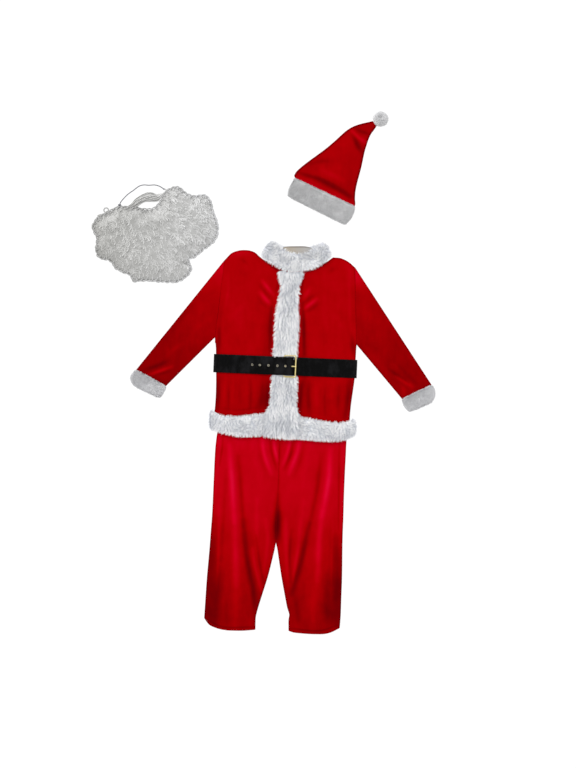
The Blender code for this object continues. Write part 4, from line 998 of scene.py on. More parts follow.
def cloth_panel(name, finish, folds, beyond, hem_below=None, back=False, shading=no_shading):
    """A panel of cloth. Its upper face follows the solid, and its free edges roll down to the floor.

    Straight ends below hem_below count as sewn. A back panel is plain, and ends inside the front's edge."""
    form = Form(name)
    step = HIDDEN_STEP if back else CLOTH_STEP
    rim = form.outline(step)
    out = outward(rim)
    free = nothing_beyond(rim, out, beyond)
    if hem_below is not None:
        hem = (rim[:, 1] < hem_below) & (np.abs(out[:, 1]) > 0.75)
        free = np.where(hem, 0.0, free)
    if back:
        rim = rim - out * (BACK_INSET * free)[:, None]
    rim = rim + out * (SEAM_LAP * (1 - free))[:, None]
    ring = rim - out * ROLL
    flat, faces = fill(ring, step, form.tree)
    count = len(ring)
    top = relax(form.top(flat), faces, 4 if back else 40)
    nap = np.zeros(len(flat))
    if not back:
        high, nap = fold_effect(flat, folds)
        # painted shade beside free edges and seams joins the folds' painted shading
        edge = rim_shade(flat, rim, free)
        top = under_belt(flat, top + high * (1 - 0.8 * edge) + ripples(flat, 5))
        nap = nap + EDGE_SHADE * edge + SEAM_SHADE * rim_shade(flat, rim, 1 - free) + shading(flat)
    lip = top[:count]
    middle = lip - 0.5 * VELOUR
    ground = np.nan_to_num(heights(STRAP_TREE, rim, start=BELT_LEVEL)) + FLOOR_GAP
    low = (lip - 0.85 * VELOUR) * (1 - free) + np.minimum(ground, middle - LEAST_RISE) * free
    low = np.minimum(low, middle - LEAST_RISE)
    under, under_faces = fill(ring, HIDDEN_STEP, form.tree)
    near = near_tree(flat)
    reach = HIDDEN_STEP * (0.3 if back else 0.9)
    beneath = []
    for p in under:
        place = Vector((*p, 0))
        around = [top[j] for _, j, _ in near.find_range(place, reach)] or [top[near.find(place)[1]]]
        beneath.append(min(around) - VELOUR)
    beneath = np.array(beneath)
    beneath[:count] = np.minimum(beneath[:count], lip - VELOUR)
    beneath = np.maximum(beneath, 0.0)
    layers = ((flat, top), (rim, middle), (rim, low), (under, beneath))
    points = np.vstack([np.column_stack(layer) for layer in layers])
    a = np.arange(count)
    b = len(flat) + a
    c = b + count
    d = len(flat) + 2 * count
    faces = list(faces) + strip(a, b) + strip(b, c) + strip(c, d + a)
    faces += [tuple(d + i for i in f[::-1]) for f in under_faces]
    # painted shade on the rolled edge, deeper where it is free
    rims = np.full(count, ROLL_SHADE) * (0.3 + 0.7 * free)
    nap = np.concatenate([nap, rims, rims, np.zeros(len(under))])
    return face_out(make_object(name + "_cloth", points, faces, finish, nap=nap))


def ring_wall(name, outer, inner, finish, closed_ring=True, **attributes):
    """A wall between two grids of points, each [run][ring], closed along their edges."""
    runs, ring = outer.shape[:2]
    points = np.vstack([outer.reshape(-1, 3), inner.reshape(-1, 3)])

    def at(side, i, j):
        return (side * runs + i) * ring + j % ring

    faces = []
    ring_steps = ring if closed_ring else ring - 1
    for i in range(runs - 1):
        for j in range(ring_steps):
            faces.append((at(0, i, j), at(0, i, j + 1), at(0, i + 1, j + 1), at(0, i + 1, j)))
            faces.append((at(1, i, j), at(1, i + 1, j), at(1, i + 1, j + 1), at(1, i, j + 1)))
    for i, order in ((0, 1), (runs - 1, -1)):
        for j in range(ring_steps):
            faces.append((at(0, i, j), at(1, i, j), at(1, i, j + 1), at(0, i, j + 1))[::order])
    if not closed_ring:
        for j, order in ((0, -1), (ring - 1, 1)):
            for i in range(runs - 1):
                faces.append((at(0, i, j), at(1, i, j), at(1, i + 1, j), at(0, i + 1, j))[::order])
    return face_out(make_object(name, points, faces, finish, **attributes))


TURN_POINTS = 5  # round a tube's folded edge
UNDER_POINTS = 12  # across a tube's under face
TUBE_ROUNDS = 24  # of smoothing for a tube's upper face
FOLD_INSET = 0.0200  # a tube's folds grow to full height over this width beside its edges
TUBE_EDGE = 0.0056  # height of a tube's folded edge
TURN_SHADE = -0.25  # painted shade on that edge's round


def lapped(line):
    """A line with both ends drawn out a little, to go on under the next piece."""
    start, end = line[0] - line[1], line[-1] - line[-2]
    start, end = (d / np.linalg.norm(d) * 1.5 * SEAM_LAP for d in (start, end))
    return np.vstack([line[0] + start, line, line[-1] + end])


def folded_sides(form, beyond):
    """The two sides where a tube is folded, both running the same way: nothing is sewn on there.

    With beyond empty, they are its two short sides."""
    sides = sorted(form.sides(CLOTH_STEP), key=lambda s: run_of(s)[-1], reverse=bool(beyond))
    if not beyond:
        return sides[0], sides[1][::-1]
    kept = []
    for side in sides:
        middle = side[len(side) // 4 : -len(side) // 4]
        if nothing_beyond(middle, outward(middle, closed=False), beyond).mean() > 0.5:
            kept.append(side)
    return kept[0], kept[1][::-1]


def cloth_tube(
    name, finish, folds, beyond, edge_height, shading=no_shading, seam=None, rim=(-EDGE_SHADE, RIM_FADE),
    step=CLOTH_STEP,
):
    """A tube of cloth pressed flat, with two folded edges and an upper face that follows the solid.

    seam is the pair of places where it is sewn on, if its folded edges turn a corner before them.
    rim is how deep the painted shade is beside a folded edge, and over what width."""
    form = Form(name)
    first, second = folded_sides(form, beyond)
    if seam:
        ends = list(plan_points(seam))
        if np.linalg.norm(first[0] - ends[0]) > np.linalg.norm(first[-1] - ends[0]):
            first, second = first[::-1], second[::-1]
        if np.linalg.norm(first[0] - ends[0]) > np.linalg.norm(first[0] - ends[1]):
            ends = ends[::-1]
        first, second = np.vstack([ends[0], first]), np.vstack([ends[1], second])
    count = round(max(run_of(first)[-1], run_of(second)[-1]) / step)
    first, second = (lapped(evenly(side, count=count)) for side in (first, second))
    width = float(np.linalg.norm(first - second, axis=1).max())
    across = round(width / step)
    radius = edge_height / 2
    middle, half = (first + second) / 2, (second - first) / 2
    size = np.linalg.norm(half, axis=1)
    line = half / size[:, None]
    core = (size - radius)[:, None]
    # The points of the upper face stand closer together towards the edges
    crowded = core * np.cos(np.linspace(0, math.pi, across) * 0.999 + 0.0005) * -1
    over = 0.35 * crowded + 0.65 * core * np.linspace(-1, 1, across)
    under = core * np.linspace(1, -1, UNDER_POINTS)
    turn = np.radians(np.linspace(90, -90, TURN_POINTS + 2)[1:-1])

    def place(a):
        return middle[:, None, :] + a[..., None] * line[:, None, :]

    over_plan = place(over)
    flat = over_plan.reshape(-1, 2)
    top = form.top(flat).reshape(over.shape)
    for _ in range(TUBE_ROUNDS):
        padded = np.pad(top, 1, mode="edge")
        mean = (padded[:-2, 1:-1] + padded[2:, 1:-1] + padded[1:-1, :-2] + padded[1:-1, 2:]) / 4
        top[:, 1:-1] += 0.5 * (mean - top)[:, 1:-1]
    high, nap = fold_effect(flat, folds)
    fade = smoothstep(0.0, FOLD_INSET, core - np.abs(over))
    top = top + (high + ripples(flat, 7)).reshape(over.shape) * fade
    # painted shade beside the folded edges
    edge = np.exp(-(((size[:, None] - np.abs(over)) / rim[1]) ** 2) * RIM_FALL)
    nap = (nap + shading(flat)).reshape(over.shape) - rim[0] * edge
    grids, painted_shadings = [], []
    for cut in (0.0, VELOUR):
        r = radius - cut
        level = np.maximum(top - cut, radius + 0.0001)
        right = core + r * np.cos(turn)
        right_z = np.broadcast_to(radius + r * np.sin(turn), right.shape)
        left = -core - r * np.cos(turn[::-1])
        left_z = np.broadcast_to(radius + r * np.sin(turn[::-1]), left.shape)
        under_z = np.full(under.shape, FLOOR_GAP + cut * 0.8)
        plan = np.concatenate([over_plan, place(right), place(under), place(left)], axis=1)
        z = np.concatenate([level, right_z, under_z, left_z], axis=1)
        grids.append(np.concatenate([plan, z[..., None]], axis=2))
        turns = np.full(right.shape, TURN_SHADE)
        painted_shadings.append(np.concatenate([nap, turns, np.zeros(under.shape), turns], axis=1))
    return ring_wall(name + "_cloth", *grids, finish, nap=np.concatenate([n.ravel() for n in painted_shadings]))


# ---- Plush: a backing inside the solid, and pile on it ----


PILE_ROOM = 0.0110  # what pile needs free above it
LEAST_LEVEL = 0.0012  # no pile stands lower than this
FACES_FLOOR = -0.35  # nor where the normal falls by more than this


def open_to(points, normals, combs, own, others):
    """1 where pile can stand, away from the floor, with nothing over it or where it leans."""
    found = np.zeros(len(points))
    for i, (p, n, comb) in enumerate(zip(points, normals, combs)):
        if n.z < FACES_FLOOR or p.z < LEAST_LEVEL:
            continue
        ways = (n, (n + comb).normalized())
        clear = all(others.ray_cast(p, way, PILE_ROOM)[0] is None for way in ways)
        found[i] = 1.0 if clear and own.ray_cast(p + n * 0.0012, n, 0.010)[0] is None else 0.0
    return found


JOINED_PILE = ("collar", "placket")  # their pile grows over the joint between them
JOINT = 0.0080  # this near to the other one, a backing isn't drawn in sideways
SPARSE = 0.35  # where less of the pile than this would stand, none does


def refined(name, step, rounds):
    """A node's mesh with no edge longer than step, rounded off."""
    work = welded(name)
    for _ in range(REFINE_ROUNDS):
        long_edges = [e for e in work.edges if e.calc_length() > step]
        if not long_edges:
            break
        bmesh.ops.subdivide_edges(work, edges=long_edges, cuts=1)
        split = [f for f in work.faces if len(f.verts) > 3]
        bmesh.ops.triangulate(work, faces=split, quad_method="SHORT_EDGE", ngon_method="EAR_CLIP")
    for _ in range(rounds):
        bmesh.ops.smooth_vert(
            work, verts=work.verts, factor=0.5, use_axis_x=True, use_axis_y=True, use_axis_z=True
        )
    work.normal_update()
    return work


def backing(name, finish, depth, comb, step=PLUSH_STEP, rounds=2, bare=None, narrow=None):
    """The cloth under the pile: the solid with finer faces, drawn in by depth at most where the pile stands.

    comb gives the way that the pile leans, for arrays of points and normals. bare tells which points have no
    pile, narrow how far each moves sideways to leave the pile its room. The mesh keeps comb, fur and
    nap, the painted shade and highlight of PLUSH_FOLDS."""
    work = refined(name, step, rounds)
    own = BVHTree.FromBMesh(work)
    others = tree_of([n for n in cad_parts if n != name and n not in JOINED_PILE])
    partner = tree_of([n for n in JOINED_PILE if n != name]) if name in JOINED_PILE else None
    points = [v.co.copy() for v in work.verts]
    normals = [v.normal.copy() for v in work.verts]
    faces = [tuple(v.index for v in f.verts) for f in work.faces]
    work.free()
    combs = comb(np.array(points), np.array(normals))
    fur = relax(open_to(points, normals, [Vector(c) for c in combs], own, others), faces, 2)
    if bare:
        fur = fur * (1 - bare(np.array(points)))
    moved = []
    for p, n, share in zip(points, normals, fur):
        hit = own.ray_cast(p - n * 0.0002, -n, 0.05)
        wall = hit[3] if hit[0] is not None else 0.004  # how thick the solid is here
        if partner and partner.find_nearest(p, JOINT)[0] is not None:
            n = Vector((0.0, 0.0, n.z))
        moved.append(p - n * (min(depth, 0.55 * wall) * share))
    moved = np.array(moved)
    if narrow:
        moved[:, 0] += narrow(np.array(points))
    moved[:, 2] = np.maximum(moved[:, 2], 0.0)
    nap = fold_effect(moved[:, :2], [(*place, 0.0, shade) for *place, shade in PLUSH_FOLDS])[1]
    fur = np.where(fur > SPARSE, fur, 0.0)
    return make_object(name + "_backing", moved, faces, finish, fur=fur, comb=combs, nap=nap)


def socket_in(tree, name, kind, value=None):
    made = tree.interface.new_socket(name, in_out="INPUT", socket_type=kind)
    if value is not None:
        made.default_value = value
    return made.identifier


def surface_points(graph, given):
    """Random points over a surface where its fur value is, turned so that Z leaves the surface."""
    mask = graph.node("GeometryNodeInputNamedAttribute", {"data_type": "FLOAT"}, {"Name": "fur"})
    sockets = {"Mesh": given("Geometry"), "Density": mask * given("Density"), "Seed": given("Seed")}
    return graph.node("GeometryNodeDistributePointsOnFaces", {"distribute_method": "RANDOM"}, sockets)


def combed_rotation(graph, given, points):
    """Each hair's rotation: it stands on the surface and leans along the comb and into its tuft."""
    clump_size = given("Clump Size")
    comb = graph.node("GeometryNodeInputNamedAttribute", {"data_type": "FLOAT_VECTOR"}, {"Name": "comb"})
    place = graph.node("GeometryNodeInputPosition")
    cell = graph.cells(place, 1 / clump_size)
    inward = graph.vector("DIVIDE", graph.vector("SUBTRACT", cell.out("Position"), place), clump_size)
    wild = graph.noise(graph.vector("DIVIDE", place, clump_size * 2.6), 1.0, 2.0, 0.6, output="Color")
    sway = graph.vector("MULTIPLY", graph.vector("SUBTRACT", wild, (0.5,) * 3), given("Swirl"))
    inward = graph.vector("MULTIPLY", inward, given("Clump"))
    lean = graph.vector("ADD", graph.vector("ADD", comb, sway), inward)
    sockets = {"Rotation": points.out("Rotation"), "Vector": lean}
    return graph.node("FunctionNodeAlignRotationToVector", {"axis": "Y", "pivot_axis": "Z"}, sockets)


def tuft_tone(graph, size):
    """Lighter in the middle of a tuft than between tufts, as painted shade in the gaps, and a little
    different from hair to hair.
    """
    cell = graph.cells(graph.node("GeometryNodeInputPosition"), 1 / size)
    return (1 - cell * 1.25) * 0.75 + random_value(graph, 0.0, 0.4, 6)


def random_value(graph, low, high, seed):
    sockets = {2: low, 3: high, "Seed": seed}
    return graph.node("FunctionNodeRandomValue", {"data_type": "FLOAT"}, sockets, output=1)


def named_value(graph, geometry, name, value, domain):
    sockets = {"Geometry": geometry, "Name": name, "Value": value}
    return graph.node("GeometryNodeStoreNamedAttribute", {"data_type": "FLOAT", "domain": domain}, sockets)


FLOAT, WHOLE, MATERIAL = "NodeSocketFloat", "NodeSocketInt", "NodeSocketMaterial"


def start_tree(name, sizes):
    """A geometry tree with an input for each size; returns its graph, its inputs and their identifiers."""
    inputs = {key: (FLOAT, value) for key, value in sizes.items()}
    inputs |= {"Seed": (WHOLE, 1), "Finish": (MATERIAL, None)}
    tree = bpy.data.node_groups.new(name, "GeometryNodeTree")
    ids = {"Geometry": socket_in(tree, "Geometry", "NodeSocketGeometry")}
    for key, (kind, value) in inputs.items():
        ids[key] = socket_in(tree, key, kind, value)
    tree.interface.new_socket("Geometry", in_out="OUTPUT", socket_type="NodeSocketGeometry")
    graph = Graph(tree)
    entry = tree.nodes.new("NodeGroupInput")
    return graph, (lambda key: Wire(graph, entry.outputs[key])), ids


def grow_on(graph, given, points, instance, scale, tone):
    """The instance on every point, combed, scaled and with its own tone, as the tree's result."""
    sockets = {
        "Points": points,
        "Instance": instance,
        "Rotation": combed_rotation(graph, given, points),
        "Scale": graph.node("ShaderNodeCombineXYZ", {}, scale),
    }
    grown_ones = graph.node("GeometryNodeInstanceOnPoints", {}, sockets)
    grown_ones = named_value(graph, grown_ones, "tuft", tone, "INSTANCE")
    real = graph.node("GeometryNodeRealizeInstances", {}, {"Geometry": grown_ones})
    painted = graph.node("GeometryNodeSetMaterial", {}, {"Geometry": real, "Material": given("Finish")})
    graph.node("NodeGroupOutput", {}, {0: painted})


def pile_tree():
    """Pile: flat tapering hairs, each bent along the comb. Lay 0 stands up, 1 lies down."""
    sizes = {
        "Density": 100000.0,
        "Length": 0.009,
        "Width": 0.0012,
        "Lay": 0.5,
        "Clump": 1.0,
        "Clump Size": 0.02,
        "Swirl": 1.0,
    }
    graph, given, ids = start_tree("pile", sizes)
    sheet = {"Size X": 1.0, "Size Y": 1.0, "Vertices X": 2, "Vertices Y": 3}
    blade = graph.node("GeometryNodeMeshGrid", {}, sheet)
    parts = graph.node("ShaderNodeSeparateXYZ", {}, (graph.node("GeometryNodeInputPosition"),))
    up = parts.out("Y") + 0.5
    lay = given("Lay")
    ahead = up * up * 0.3 * (1 - lay) + up * 0.92 * lay
    rise = up * (1 - lay) + (up * 0.62 - up * up * 0.20) * lay
    bent = graph.node("ShaderNodeCombineXYZ", {}, (parts * (1 - up * up * 0.8), ahead, rise))
    blade = named_value(graph, blade, "tip", up, "POINT")
    blade = graph.node("GeometryNodeSetPosition", {}, {"Geometry": blade, "Position": bent})
    long = given("Length") * random_value(graph, 0.65, 1.15, 3)
    wide = given("Width") * random_value(graph, 0.7, 1.3, 4)
    scale = (wide, long, long * random_value(graph, 0.7, 1.25, 5))
    tone = tuft_tone(graph, given("Clump Size"))
    grow_on(graph, given, surface_points(graph, given), blade, scale, tone)
    return graph.tree, ids


def curl_tree():
    """Ringlets: a strand wound round the line that it is combed along, resting on the surface."""
    sizes = {
        "Density": 5000.0,
        "Length": 0.036,
        "Radius": 0.005,
        "Strand": 0.001,
        "Turns": 2.5,
        "Clump": 1.0,
        "Clump Size": 0.04,
        "Swirl": 1.0,
    }
    graph, given, ids = start_tree("ringlets", sizes)
    winding = {
        "Resolution": 12,
        "Rotations": given("Turns"),
        "Start Radius": given("Radius"),
        "End Radius": given("Radius") * 0.45,
        "Height": given("Length"),
    }
    spiral = graph.node("GeometryNodeCurveSpiral", {}, winding)
    place = graph.node("ShaderNodeSeparateXYZ", {}, (graph.node("GeometryNodeInputPosition"),))
    round_way = place.out("Y")
    ahead, rise = place.out("Z") + round_way * 0.95, round_way * 0.16 - given("Strand") * 0.2
    lying = graph.node("ShaderNodeCombineXYZ", {}, (place, ahead, rise))
    along = graph.node("GeometryNodeSplineParameter", {}, output="Factor")
    spiral = named_value(graph, spiral, "tip", along, "POINT")
    spiral = graph.node("GeometryNodeSetPosition", {}, {"Geometry": spiral, "Position": lying})
    section = {"Resolution": 6, "Radius": given("Strand")}
    section = graph.node("GeometryNodeCurvePrimitiveCircle", {}, section)
    sockets = {"Curve": spiral, "Profile Curve": section, "Fill Caps": True}
    strand = graph.node("GeometryNodeCurveToMesh", {}, sockets)
    size = random_value(graph, 0.7, 1.2, 3)
    scale = (size, size * random_value(graph, 0.8, 1.3, 4), size)
    tone = random_value(graph, 0.0, 1.0, 6)
    grow_on(graph, given, surface_points(graph, given), strand, scale, tone)
    return graph.tree, ids


def evaluated_mesh(obj):
    """A new mesh of the object with its modifiers carried out."""
    bpy.context.view_layer.update()
    return bpy.data.meshes.new_from_object(obj.evaluated_get(bpy.context.evaluated_depsgraph_get()))


def grown(name, base, tree_and_ids, finish, **values):
    """The mesh that a tree grows on a base, as a plain object. The values carry the names of its inputs."""
    tree, ids = tree_and_ids
    holder = bpy.data.objects.new(name, base.data.copy())
    bpy.context.scene.collection.objects.link(holder)
    grow = holder.modifiers.new("grow", "NODES")
    grow.node_group = tree
    grow[ids["Finish"]] = finish
    for key, value in values.items():
        grow[ids[key.replace("_", " ").title()]] = value
    mesh = evaluated_mesh(holder)
    holder.modifiers.remove(grow)
    old = holder.data
    holder.data = mesh
    bpy.data.meshes.remove(old)
    mesh.name = name
    places = np.zeros(len(mesh.vertices) * 3, np.float32)
    mesh.vertices.foreach_get("co", places)
    places[2::3] = np.maximum(places[2::3], FLOOR_GAP)
    mesh.vertices.foreach_set("co", places)
    mesh.update()
    return holder


def furred_area(obj):
    """Area of a backing where its pile stands."""
    mesh = obj.data
    mesh.calc_loop_triangles()
    points = np.array([v.co[:] for v in mesh.vertices])
    fur = np.zeros(len(points), np.float32)
    mesh.attributes["fur"].data.foreach_get("value", fur)
    tri = np.array([t.vertices[:] for t in mesh.loop_triangles])
    a, b, c = (points[tri[:, k]] for k in range(3))
    return float((np.linalg.norm(np.cross(b - a, c - a), axis=1) / 2 * fur[tri].mean(1)).sum())


def cloth_area(obj):
    """Area of a closed shell's cloth: half its surface."""
    mesh = obj.data
    return sum(p.area for p in mesh.polygons) / 2


# ---- Strands ----


def ring_faces(count, ring, closed=False):
    """Quads between rings of points that are counted one ring after the other."""
    faces = []
    for i in range(count if closed else count - 1):
        k = (i + 1) % count
        for j in range(ring):
            m = (j + 1) % ring
            faces.append((i * ring + j, i * ring + m, k * ring + m, k * ring + j))
    return faces


def tube(name, line, radius, finish, sides=6, closed=False, flat=1.0):
    """A strand along a line of points. Its radius is one number, or one for each point.

    flat is its height over its width."""
    line = np.array(line, float)
    ahead = (np.roll(line, -1, axis=0) - np.roll(line, 1, axis=0)) if closed else np.gradient(line, axis=0)
    ahead = units(ahead)
    side = np.cross(ahead[0], (0.0, 0.0, 1.0) if abs(ahead[0][2]) < 0.9 else (1.0, 0.0, 0.0))
    radius = np.broadcast_to(radius, len(line))
    turn = np.linspace(0, 2 * math.pi, sides, endpoint=False)
    rings = []
    for p, way, r in zip(line, ahead, radius):
        side = side - way * (side @ way)
        side /= np.linalg.norm(side)
        up = np.cross(way, side)
        rings.append(p + r * (np.cos(turn)[:, None] * side + flat * np.sin(turn)[:, None] * up))
    count = len(line)
    faces = ring_faces(count, sides, closed)
    if not closed:
        faces += [tuple(range(sides))[::-1], tuple((count - 1) * sides + j for j in range(sides))]
    share = np.repeat(np.linspace(0.3, 1.0, count), sides)
    return face_out(make_object(name, np.vstack(rings), faces, finish, tip=share))


# ---- Finishing a piece ----


def belongs(obj, slot, *nodes):
    """The piece stands for these solids, which are hidden, and moves with the suit. slot is not used."""
    if nodes:
        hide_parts(*nodes)
    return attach(obj, "root")


def lay_sheet(obj, name):
    """Works out the area of this piece of cloth from how large it was cut, before it was sewn and laid flat;
    nothing uses the area.
    """
    cut = CUTS[name]
    area = min(cloth_area(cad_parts[name]), cut.width * cut.length)


# The cloth's cuts, in metres
Cut = namedtuple("Cut", "width length")
CUTS = {
    "jacket_back": Cut(0.600, 0.730),
    "jacket_front_right": Cut(0.292, 0.705),
    "jacket_front_left": Cut(0.310, 0.700),
    "sleeve_right": Cut(0.660, 0.600),
    "sleeve_left": Cut(0.660, 0.600),
    "trouser_front_right": Cut(0.320, 0.912),
    "trouser_front_left": Cut(0.298, 0.926),
    "trouser_back_right": Cut(0.320, 0.912),
    "trouser_back_left": Cut(0.298, 0.926),
    "trouser_waistband": Cut(0.916, 0.041),
    "hat_cone": Cut(0.560, 0.470),
    "collar": Cut(0.600, 0.090),
    "placket": Cut(0.160, 0.702),
    "hem_band": Cut(1.200, 0.115),
    "cuff_right": Cut(0.310, 0.078),
    "cuff_left": Cut(0.310, 0.078),
    "hat_trim": Cut(0.570, 0.098),
}


# ---- The floor, the light and the camera ----


FLOOR_REACH = 14.0
FLOOR_LEVEL = -0.0004  # just under the cloth
SUN_POWER, SUN_WIDTH, SUN_TILT = 1.6, 32, (-38, -34)  # its width and tilt in degrees
LENS, SENSOR = 100.0, 36.0


def set_stage():
    """A white floor, even light with a little more from the upper left, and a camera straight above."""
    for name in ("Cube", "Light", "Camera"):
        if name in bpy.data.objects:
            bpy.data.objects.remove(bpy.data.objects[name])
    made, graph = new_material("pale_floor", (0.9, 0.9, 0.9))
    finish_material(
        graph,
        {
            "Base Color": (0.12, 0.12, 0.12),
            "Roughness": 0.9,
            "Specular IOR Level": 0.0,
            "Emission Color": (1.0, 1.0, 1.0),
            "Emission Strength": 0.92,
        },
    )
    ways = ((-1, -1), (1, -1), (1, 1), (-1, 1))
    corners = [(x * FLOOR_REACH, y * FLOOR_REACH, FLOOR_LEVEL) for x, y in ways]
    make_object("floor", corners, [(0, 1, 2, 3)], made)
    world = bpy.data.worlds.new("studio")
    world.use_nodes = True
    sky = world.node_tree.nodes["Background"].inputs
    sky["Color"].default_value = (1.0, 1.0, 1.0, 1.0)
    sky["Strength"].default_value = 1.0
    scene = bpy.context.scene
    scene.world = world
    lamp = bpy.data.lights.new("window", "SUN")
    lamp.energy = SUN_POWER
    lamp.angle = math.radians(SUN_WIDTH)
    sun = bpy.data.objects.new("window", lamp)
    sun.rotation_euler = (math.radians(SUN_TILT[0]), math.radians(SUN_TILT[1]), 0.0)
    scene.collection.objects.link(sun)
    lens = bpy.data.cameras.new("camera")
    lens.lens = LENS
    lens.sensor_width = SENSOR
    camera = bpy.data.objects.new("camera", lens)
    middle = plan_point(SHEET[0] / 2, SHEET[1] / 2)
    camera.location = (*map(float, middle), SHEET[1] * SQUARE * LENS / SENSOR)
    scene.collection.objects.link(camera)
    scene.camera = camera
    scene.view_settings.view_transform = "Standard"
    scene.render.film_transparent = False


set_stage()


# ---- The velour ----

red = velour_material("red_velour", 0.0)
red_sleeve = velour_material("red_velour_sleeve", -0.035)
red_leg = velour_material("red_velour_leg", 0.045)


def others_than(*names):
    return [n for n in CLOTH_NODES if n not in names]


def jacket_shading(points):
    """Darker below the belt."""
    return -0.10 * smoothstep(360, 400, grid_rows(points))


def sleeve_shading(points):
    """Lighter at the shoulders and darker towards the cuffs."""
    rows = grid_rows(points)
    lower = np.where(grid_columns(points) > BUCKLE_AT[0], 0.17, 0.23)
    return 0.26 - 0.27 * smoothstep(262, 300, rows) - lower * smoothstep(300, 372, rows)


def leg_shading(points):
    """Lighter over the thighs and darker towards the hems, with painted light just below the jacket's hem
    against the shade it casts.
    """
    rows = grid_rows(points)
    top = 0.26 - 0.11 * smoothstep(440, 454, rows)
    return top - 0.24 * smoothstep(490, 560, rows) - 0.22 * smoothstep(550, 610, rows)


TROUSER_HEMS = -1.0  # straight ends of the trousers below this, in metres, are hems
HAT_RIM = (0.62, 0.0105)  # the painted shade beside the hat's edges is deeper, over a broader strip
WAIST_EDGE = 0.0048  # height of the waistband's folded edge


def lay_red(piece, name):
    lay_sheet(belongs(piece, "red_velour", name), name)


def lay_velour():
    for name in ("jacket_back", "trouser_back_right", "trouser_back_left"):
        finish = red if name == "jacket_back" else red_leg
        beyond = [n for n in CLOTH_NODES if n.split("_")[0] != name.split("_")[0]]
        lay_red(cloth_panel(name, finish, (), beyond, back=True), name)
    for name in ("jacket_front_right", "jacket_front_left"):
        beyond = others_than(name, "jacket_back")
        piece = cloth_panel(name, red, JACKET_FOLDS, beyond, shading=jacket_shading)
        lay_red(piece, name)
    for side in ("right", "left"):
        name = f"trouser_front_{side}"
        beyond = others_than(name, "trouser_back_right", "trouser_back_left")
        piece = cloth_panel(name, red_leg, TROUSER_FOLDS, beyond, TROUSER_HEMS, shading=leg_shading)
        lay_red(piece, name)
    for name in ("sleeve_right", "sleeve_left"):
        beyond = others_than(name)
        piece = cloth_tube(
            name, red_sleeve, SLEEVE_FOLDS, beyond, TUBE_EDGE, sleeve_shading, step=SLEEVE_STEP
        )
        lay_red(piece, name)
    name = "hat_cone"
    piece = cloth_tube(name, red_sleeve, HAT_FOLDS, others_than(name), TUBE_EDGE, seam=HAT_SEAM, rim=HAT_RIM)
    lay_red(piece, name)
    lay_red(cloth_tube("trouser_waistband", red_leg, (), (), WAIST_EDGE), "trouser_waistband")


lay_velour()


# ---- The plush ----


def wander(points, size, seed):
    """A vector in the plan for each point, which changes slowly over places that are size apart."""
    return np.column_stack([value_noise(points[:, :2], size, seed + k) for k in (0, 1)])


def comb_down(points, normals):
    """Down the front, and out over the edges."""
    combs = np.tile((0.0, -0.75, 0.0), (len(points), 1))
    combs[:, :2] += 1.1 * normals[:, :2]
    return combs


# The placket's middle line: rows and columns of the grid
PLACKET_MIDDLE = (
    (272, 289.9), (302, 287.8), (320, 287.0), (338, 285.9), (350, 285.4), (382, 284.0), (412, 282.0),
)
PLACKET_DRAW = 0.23  # share of its half width that the placket's cloth is drawn in
PLACKET_DRAW_LOW = 0.05  # a little more below the belt


def placket_narrow(points):
    """How far the placket's cloth moves towards its middle, except at its two ends."""
    rows = grid_rows(points)
    known = np.array(PLACKET_MIDDLE, float)
    middle = np.interp(rows, known[:, 0], known[:, 1])
    share = PLACKET_DRAW + PLACKET_DRAW_LOW * smoothstep(380, 394, rows)
    share = share * smoothstep(273, 286, rows) * (1 - smoothstep(404, 417, rows))
    return (middle - grid_columns(points)) * SQUARE * share


def comb_swirl(points, normals):
    """No one way: the pile swirls, and leans out over the edges."""
    combs = np.tile((0.0, -0.22, 0.0), (len(points), 1))
    combs[:, :2] += 0.5 * wander(points, 0.045, 21) + 0.9 * normals[:, :2]
    return combs


def comb_from(middle):
    """Away from a place, and upright over it."""

    def comb(points, normals):
        combs = np.zeros((len(points), 3))
        combs[:, :2] = 0.6 * units(points[:, :2] - np.array(middle), 0.012) + 0.8 * normals[:, :2]
        return combs

    return comb


white = plush_material("white_plush", (230, 231, 235), (253, 253, 253), (178, 183, 193))
cuff_white = plush_material("cuff_plush", (187, 187, 190), (209, 209, 211), (190, 190, 193), 0.40)
brim_white = plush_material("brim_plush", (178, 178, 179), (197, 197, 198), (196, 196, 197), 0.35)
pom_white = plush_material("pompom_plush", (197, 197, 198), (225, 225, 226), (188, 188, 190), 0.20)
pile = pile_tree()

# Number of hairs on a piece, their length and width, how they lie and gather, and the seed of their places
PILES = {
    "collar": PileKind(15000, 0.0125, 0.0014, 0.62, 0.45, 0.010, 1.3, 11),
    "placket": PileKind(26500, 0.0150, 0.0015, 0.68, 0.62, 0.011, 1.1, 12),
    "hem_band": PileKind(28500, 0.0115, 0.0015, 0.64, 0.50, 0.010, 1.3, 13),
    "cuff_right": PileKind(8500, 0.0072, 0.0015, 0.84, 0.15, 0.010, 1.0, 14),
    "cuff_left": PileKind(8500, 0.0072, 0.0015, 0.84, 0.15, 0.010, 1.0, 15),
    "hat_trim": PileKind(16000, 0.0060, 0.0015, 0.86, 0.1, 0.010, 1.0, 16),
    "pompom": PileKind(6500, 0.0080, 0.0014, 0.40, 0.3, 0.008, 0.6, 17),
}


NECK_LEFT, NECK_RIGHT, NECK_FOOT = 281.0, 313.0, 256.0  # the neck's opening, in squares of the grid
NECK_LEVEL = 0.0095  # the collar's back half lies below this
LINING_LEVEL, LINING_GAP, LINING_WALL = 0.0075, 0.0002, 0.0008
LINING_COLUMNS, LINING_ROWS = 41, 11
LINING_TOP = ((282.5, 247.4), (287, 246.6), (296, 246.4), (305, 246.5), (312.3, 248.0))
LINING_FOOT = ((282.5, 249.8), (288, 253.2), (296, 255.4), (304, 255.4), (312.3, 251.2))


